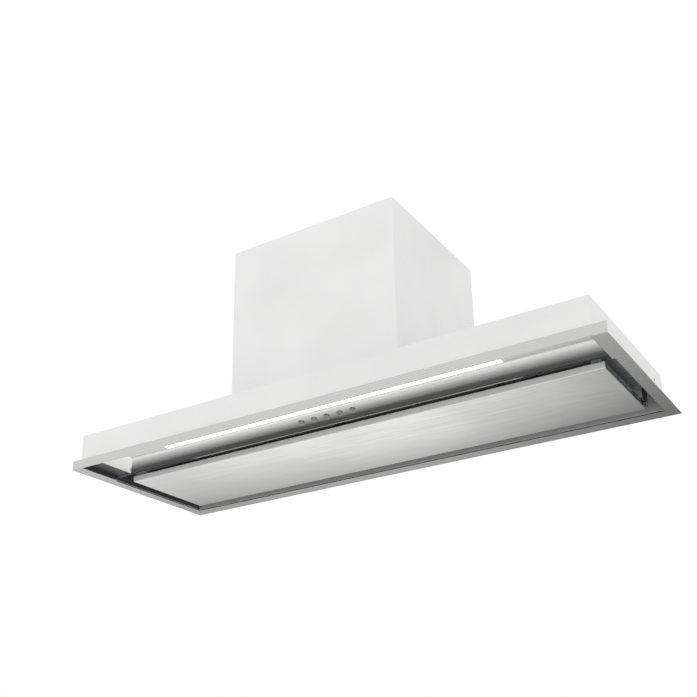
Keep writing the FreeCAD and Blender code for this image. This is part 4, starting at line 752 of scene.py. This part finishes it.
class HOOD_OT_cove(Operator):
    """Finish the light cove, its brackets and its lamp"""

    bl_idname = "hood.cove"
    bl_label = "Light cove and lamp"

    def execute(self, context):
        colours = context.scene.hood_colours
        cove = brushed_steel("brushed_stainless_cove", colours.steel, 0.22)
        dress(darken_lower_edge(cove, "light_cove"), "light_cove")
        bracket = powder_coat("dark_powder_coat_bracket", colours.bracket, colours.shade_and_cloud_grey)
        dress(bracket, "cove_bracket_left", "cove_bracket_right")
        dress(lamp_window("opal_acrylic"), "lamp_diffuser")
        dress(drawn_metal("anodised_lamp_channel", colours.lamp_channel, 0.38), "lamp_channel")
        dress(moulded_plastic("white_lamp_board", colours.lamp_board, 0.5, 0.8), "lamp_board")
        return {"FINISHED"}


class HOOD_OT_buttons(Operator):
    """Finish the push buttons and print their marks"""

    bl_idname = "hood.buttons"
    bl_label = "Buttons"

    def execute(self, context):
        colours = context.scene.hood_colours
        sizes = context.scene.hood_sizes
        steel = brushed_steel("satin_button_steel", colours.frame_steel, 0.32)
        ink = pad_print("pad_printed_ink", colours.mark)
        for number in range(1, 6):
            name = f"button_{number}"
            dress(steel, name)
            mark = join(button_mark(number, sizes.mark_radius, sizes.mark_width))
            thicken(mark, sizes.mark_height)
            middle, turn = cap_face(number)
            mark.rotation_euler = (turn, 0, 0)
            mark.location = middle
            settle(mark, name + "_mark", ink, name)
        black = moulded_plastic("black_abs_carrier", colours.black_plastic, 0.5, 0.6)
        dress(black, "control_carrier", "control_switches")
        dress(circuit_board("green_circuit_board"), "control_board", "power_board")
        return {"FINISHED"}


class HOOD_OT_body(Operator):
    """Coat the low body, the motor housing and its rear cover"""

    bl_idname = "hood.body"
    bl_label = "Body and motor housing"

    def execute(self, context):
        colours = context.scene.hood_colours
        body = powder_coat("pale_powder_coat_body", colours.coat, colours.coat_cloud)
        dress(shade_inside(body, "body_shell"), "body_shell")
        housing = powder_coat("pale_powder_coat_housing", colours.coat, colours.coat_cloud)
        dress(housing, "motor_housing", "rear_cover")
        return {"FINISHED"}


class HOOD_OT_inside(Operator):
    """Finish the filters and the sheet parts behind the panel"""

    bl_idname = "hood.inside"
    bl_label = "Filters and inner sheet"

    def execute(self, context):
        colours = context.scene.hood_colours
        zinc = galvanised_steel("galvanised_sheet")
        dress(
            zinc, "panel_stiffener", "filter_deck", "deck_wall", "filter_rail_front", "filter_rail_rear",
            "capacitor_clip", "motor_spider",
        )
        dark = powder_coat("dark_powder_coat_hinge", colours.bracket, colours.shade_and_cloud_grey)
        dress(dark, "hinge_bracket_left", "hinge_bracket_right")
        plated = drawn_metal("zinc_plated_catch", colours.plated, 0.35, 0.5)
        dress(plated, "panel_catches", "catch_springs", "panel_hinge_pins")
        rims = drawn_metal("anodised_aluminium_rim", colours.filter_rim, 0.5, 0.4)
        mesh = expanded_mesh("expanded_aluminium")
        black = moulded_plastic("black_abs_latch", colours.black_plastic, 0.45, 0.6)
        for side in ("left", "centre", "right"):
            dress(rims, f"filter_frame_{side}")
            dress(mesh, f"filter_mesh_{side}")
            dress(black, f"filter_latch_{side}")
        return {"FINISHED"}


class HOOD_OT_blower(Operator):
    """Finish the blower, the outlet collar and its flaps"""

    bl_idname = "hood.blower"
    bl_label = "Blower and outlet"

    def execute(self, context):
        colours = context.scene.hood_colours
        black = moulded_plastic("black_abs_collar", colours.black_plastic, 0.42, 0.8)
        dress(black, "outlet_collar", "flap_front", "flap_rear")
        dress(moulded_plastic("black_polypropylene_wheel", colours.wheel, 0.38, 1.2), "impeller")
        grey = moulded_plastic("grey_abs_scroll", colours.grey_plastic, 0.5, 1.0)
        dress(grey, "scroll_left", "scroll_right")
        dress(drawn_metal("ground_steel_shaft", colours.shaft, 0.3), "motor_shaft", "flap_axle")
        paint = powder_coat("grey_motor_paint", colours.motor, [c * 0.85 for c in colours.motor], 0.5)
        dress(paint, "motor_can")
        dress(moulded_plastic("white_capacitor_case", colours.capacitor, 0.3, 1.0), "capacitor")
        dress(foam_rubber("black_foam_seal"), "outlet_seal")
        return {"FINISHED"}


class HOOD_OT_boxes(Operator):
    """Finish the electric boxes and the cable gland, and screw the lid down"""

    bl_idname = "hood.boxes"
    bl_label = "Electric boxes"

    def execute(self, context):
        colours = context.scene.hood_colours
        sizes = context.scene.hood_sizes
        pale = moulded_plastic("pale_abs_box", colours.pale_plastic, 0.48, 0.9)
        dress(pale, "electronics_box", "electronics_lid", "lamp_driver")
        dress(moulded_plastic("black_nylon_gland", colours.black_plastic, 0.4, 0.7), "mains_gland")
        low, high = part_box("electronics_lid")
        inset = sizes.lid_screw_in
        seats = [
            Vector((x, y, high.z + LID_CROWN))
            for x in (low.x + inset, high.x - inset) for y in (low.y + inset, high.y - inset)
        ]
        screws = copies_at(model_screw(*LID_SCREW), seats, Euler((0, 0, 0)))
        zinc = drawn_metal("zinc_plated_lid_screw", colours.screw, 0.3)
        settle(screws, "lid_screws", zinc, "hood")
        return {"FINISHED"}


class HOOD_OT_screws(Operator):
    """Model the pan-head screws of the housing, its rear cover and the collar"""

    bl_idname = "hood.screws"
    bl_label = "Screws"

    def execute(self, context):
        zinc = drawn_metal("zinc_plated_screw", context.scene.hood_colours.screw, 0.3)
        up, back = Vector((0, 0, 1)), Vector((0, 1, 0))
        groups = (
            ("housing_screws", up, Euler((0, 0, 0))),
            ("collar_screws", up, Euler((0, 0, 0))),
            ("cover_screws", back, Euler((math.radians(-90), 0, 0))),
        )
        for node, axis, turn in groups:
            screws = copies_at(model_screw(*SCREW), screw_seats(node, axis), turn)
            settle(screws, node + "_detail", zinc, "hood")
            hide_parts(node)
        return {"FINISHED"}


class HOOD_OT_stage(Operator):
    """Set the floor, the lights, the world and the camera"""

    bl_idname = "hood.stage"
    bl_label = "Studio"

    def execute(self, context):
        stage = context.scene.hood_stage
        context.scene.view_settings.view_transform = "Standard"
        deselect()
        bpy.ops.mesh.primitive_plane_add(size=FLOOR_SIZE, location=(0, 0, stage.floor_level))
        floor = context.object
        floor.name = "studio_floor"
        bpy.ops.object.transform_apply(location=True, rotation=True, scale=True)
        floor.data.materials.append(studio_floor("pale_studio_floor"))
        studio_world()
        for light in LIGHTS:
            soft_light(*light)
        camera = bpy.data.cameras.new("photo_camera")
        camera.sensor_width = SENSOR_WIDTH
        camera.lens = stage.lens
        camera.shift_y = stage.shift
        camera.clip_start = 0.01
        holder = bpy.data.objects.new("photo_camera", camera)
        holder.location = CAMERA_PLACE
        holder.rotation_euler = [math.radians(angle) for angle in CAMERA_TURN]
        context.scene.collection.objects.link(holder)
        context.scene.camera = holder
        return {"FINISHED"}


class HOOD_PT_sidebar(Panel):
    """The hood's tools"""

    bl_idname = "HOOD_PT_sidebar"
    bl_label = "Range hood"
    bl_space_type = "VIEW_3D"
    bl_region_type = "UI"
    bl_category = "Hood"

    def draw(self, context):
        for operator in OPERATORS:
            self.layout.operator(operator.bl_idname)
        for group in GROUPS:
            settings = getattr(context.scene, group)
            column = self.layout.column(align=True)
            for name in settings.__annotations__:
                column.prop(settings, name)


OPERATORS = (
    HOOD_OT_trim,
    HOOD_OT_cove,
    HOOD_OT_buttons,
    HOOD_OT_body,
    HOOD_OT_inside,
    HOOD_OT_blower,
    HOOD_OT_boxes,
    HOOD_OT_screws,
    HOOD_OT_stage,
)
GROUPS = {"hood_colours": HoodColours, "hood_sizes": HoodSizes, "hood_stage": HoodStage}


def register():
    for group in GROUPS.values():
        bpy.utils.register_class(group)
    for name, group in GROUPS.items():
        setattr(bpy.types.Scene, name, PointerProperty(type=group))
    for operator in OPERATORS:
        bpy.utils.register_class(operator)
    bpy.utils.register_class(HOOD_PT_sidebar)


def unregister():
    bpy.utils.unregister_class(HOOD_PT_sidebar)
    for operator in reversed(OPERATORS):
        bpy.utils.unregister_class(operator)
    for name, group in GROUPS.items():
        delattr(bpy.types.Scene, name)
        bpy.utils.unregister_class(group)


def main():
    register()
    bpy.ops.hood.trim()
    bpy.ops.hood.cove()
    bpy.ops.hood.buttons()
    bpy.ops.hood.body()
    bpy.ops.hood.inside()
    bpy.ops.hood.blower()
    bpy.ops.hood.boxes()
    bpy.ops.hood.screws()
    bpy.ops.hood.stage()


if __name__ == "__main__":
    main()
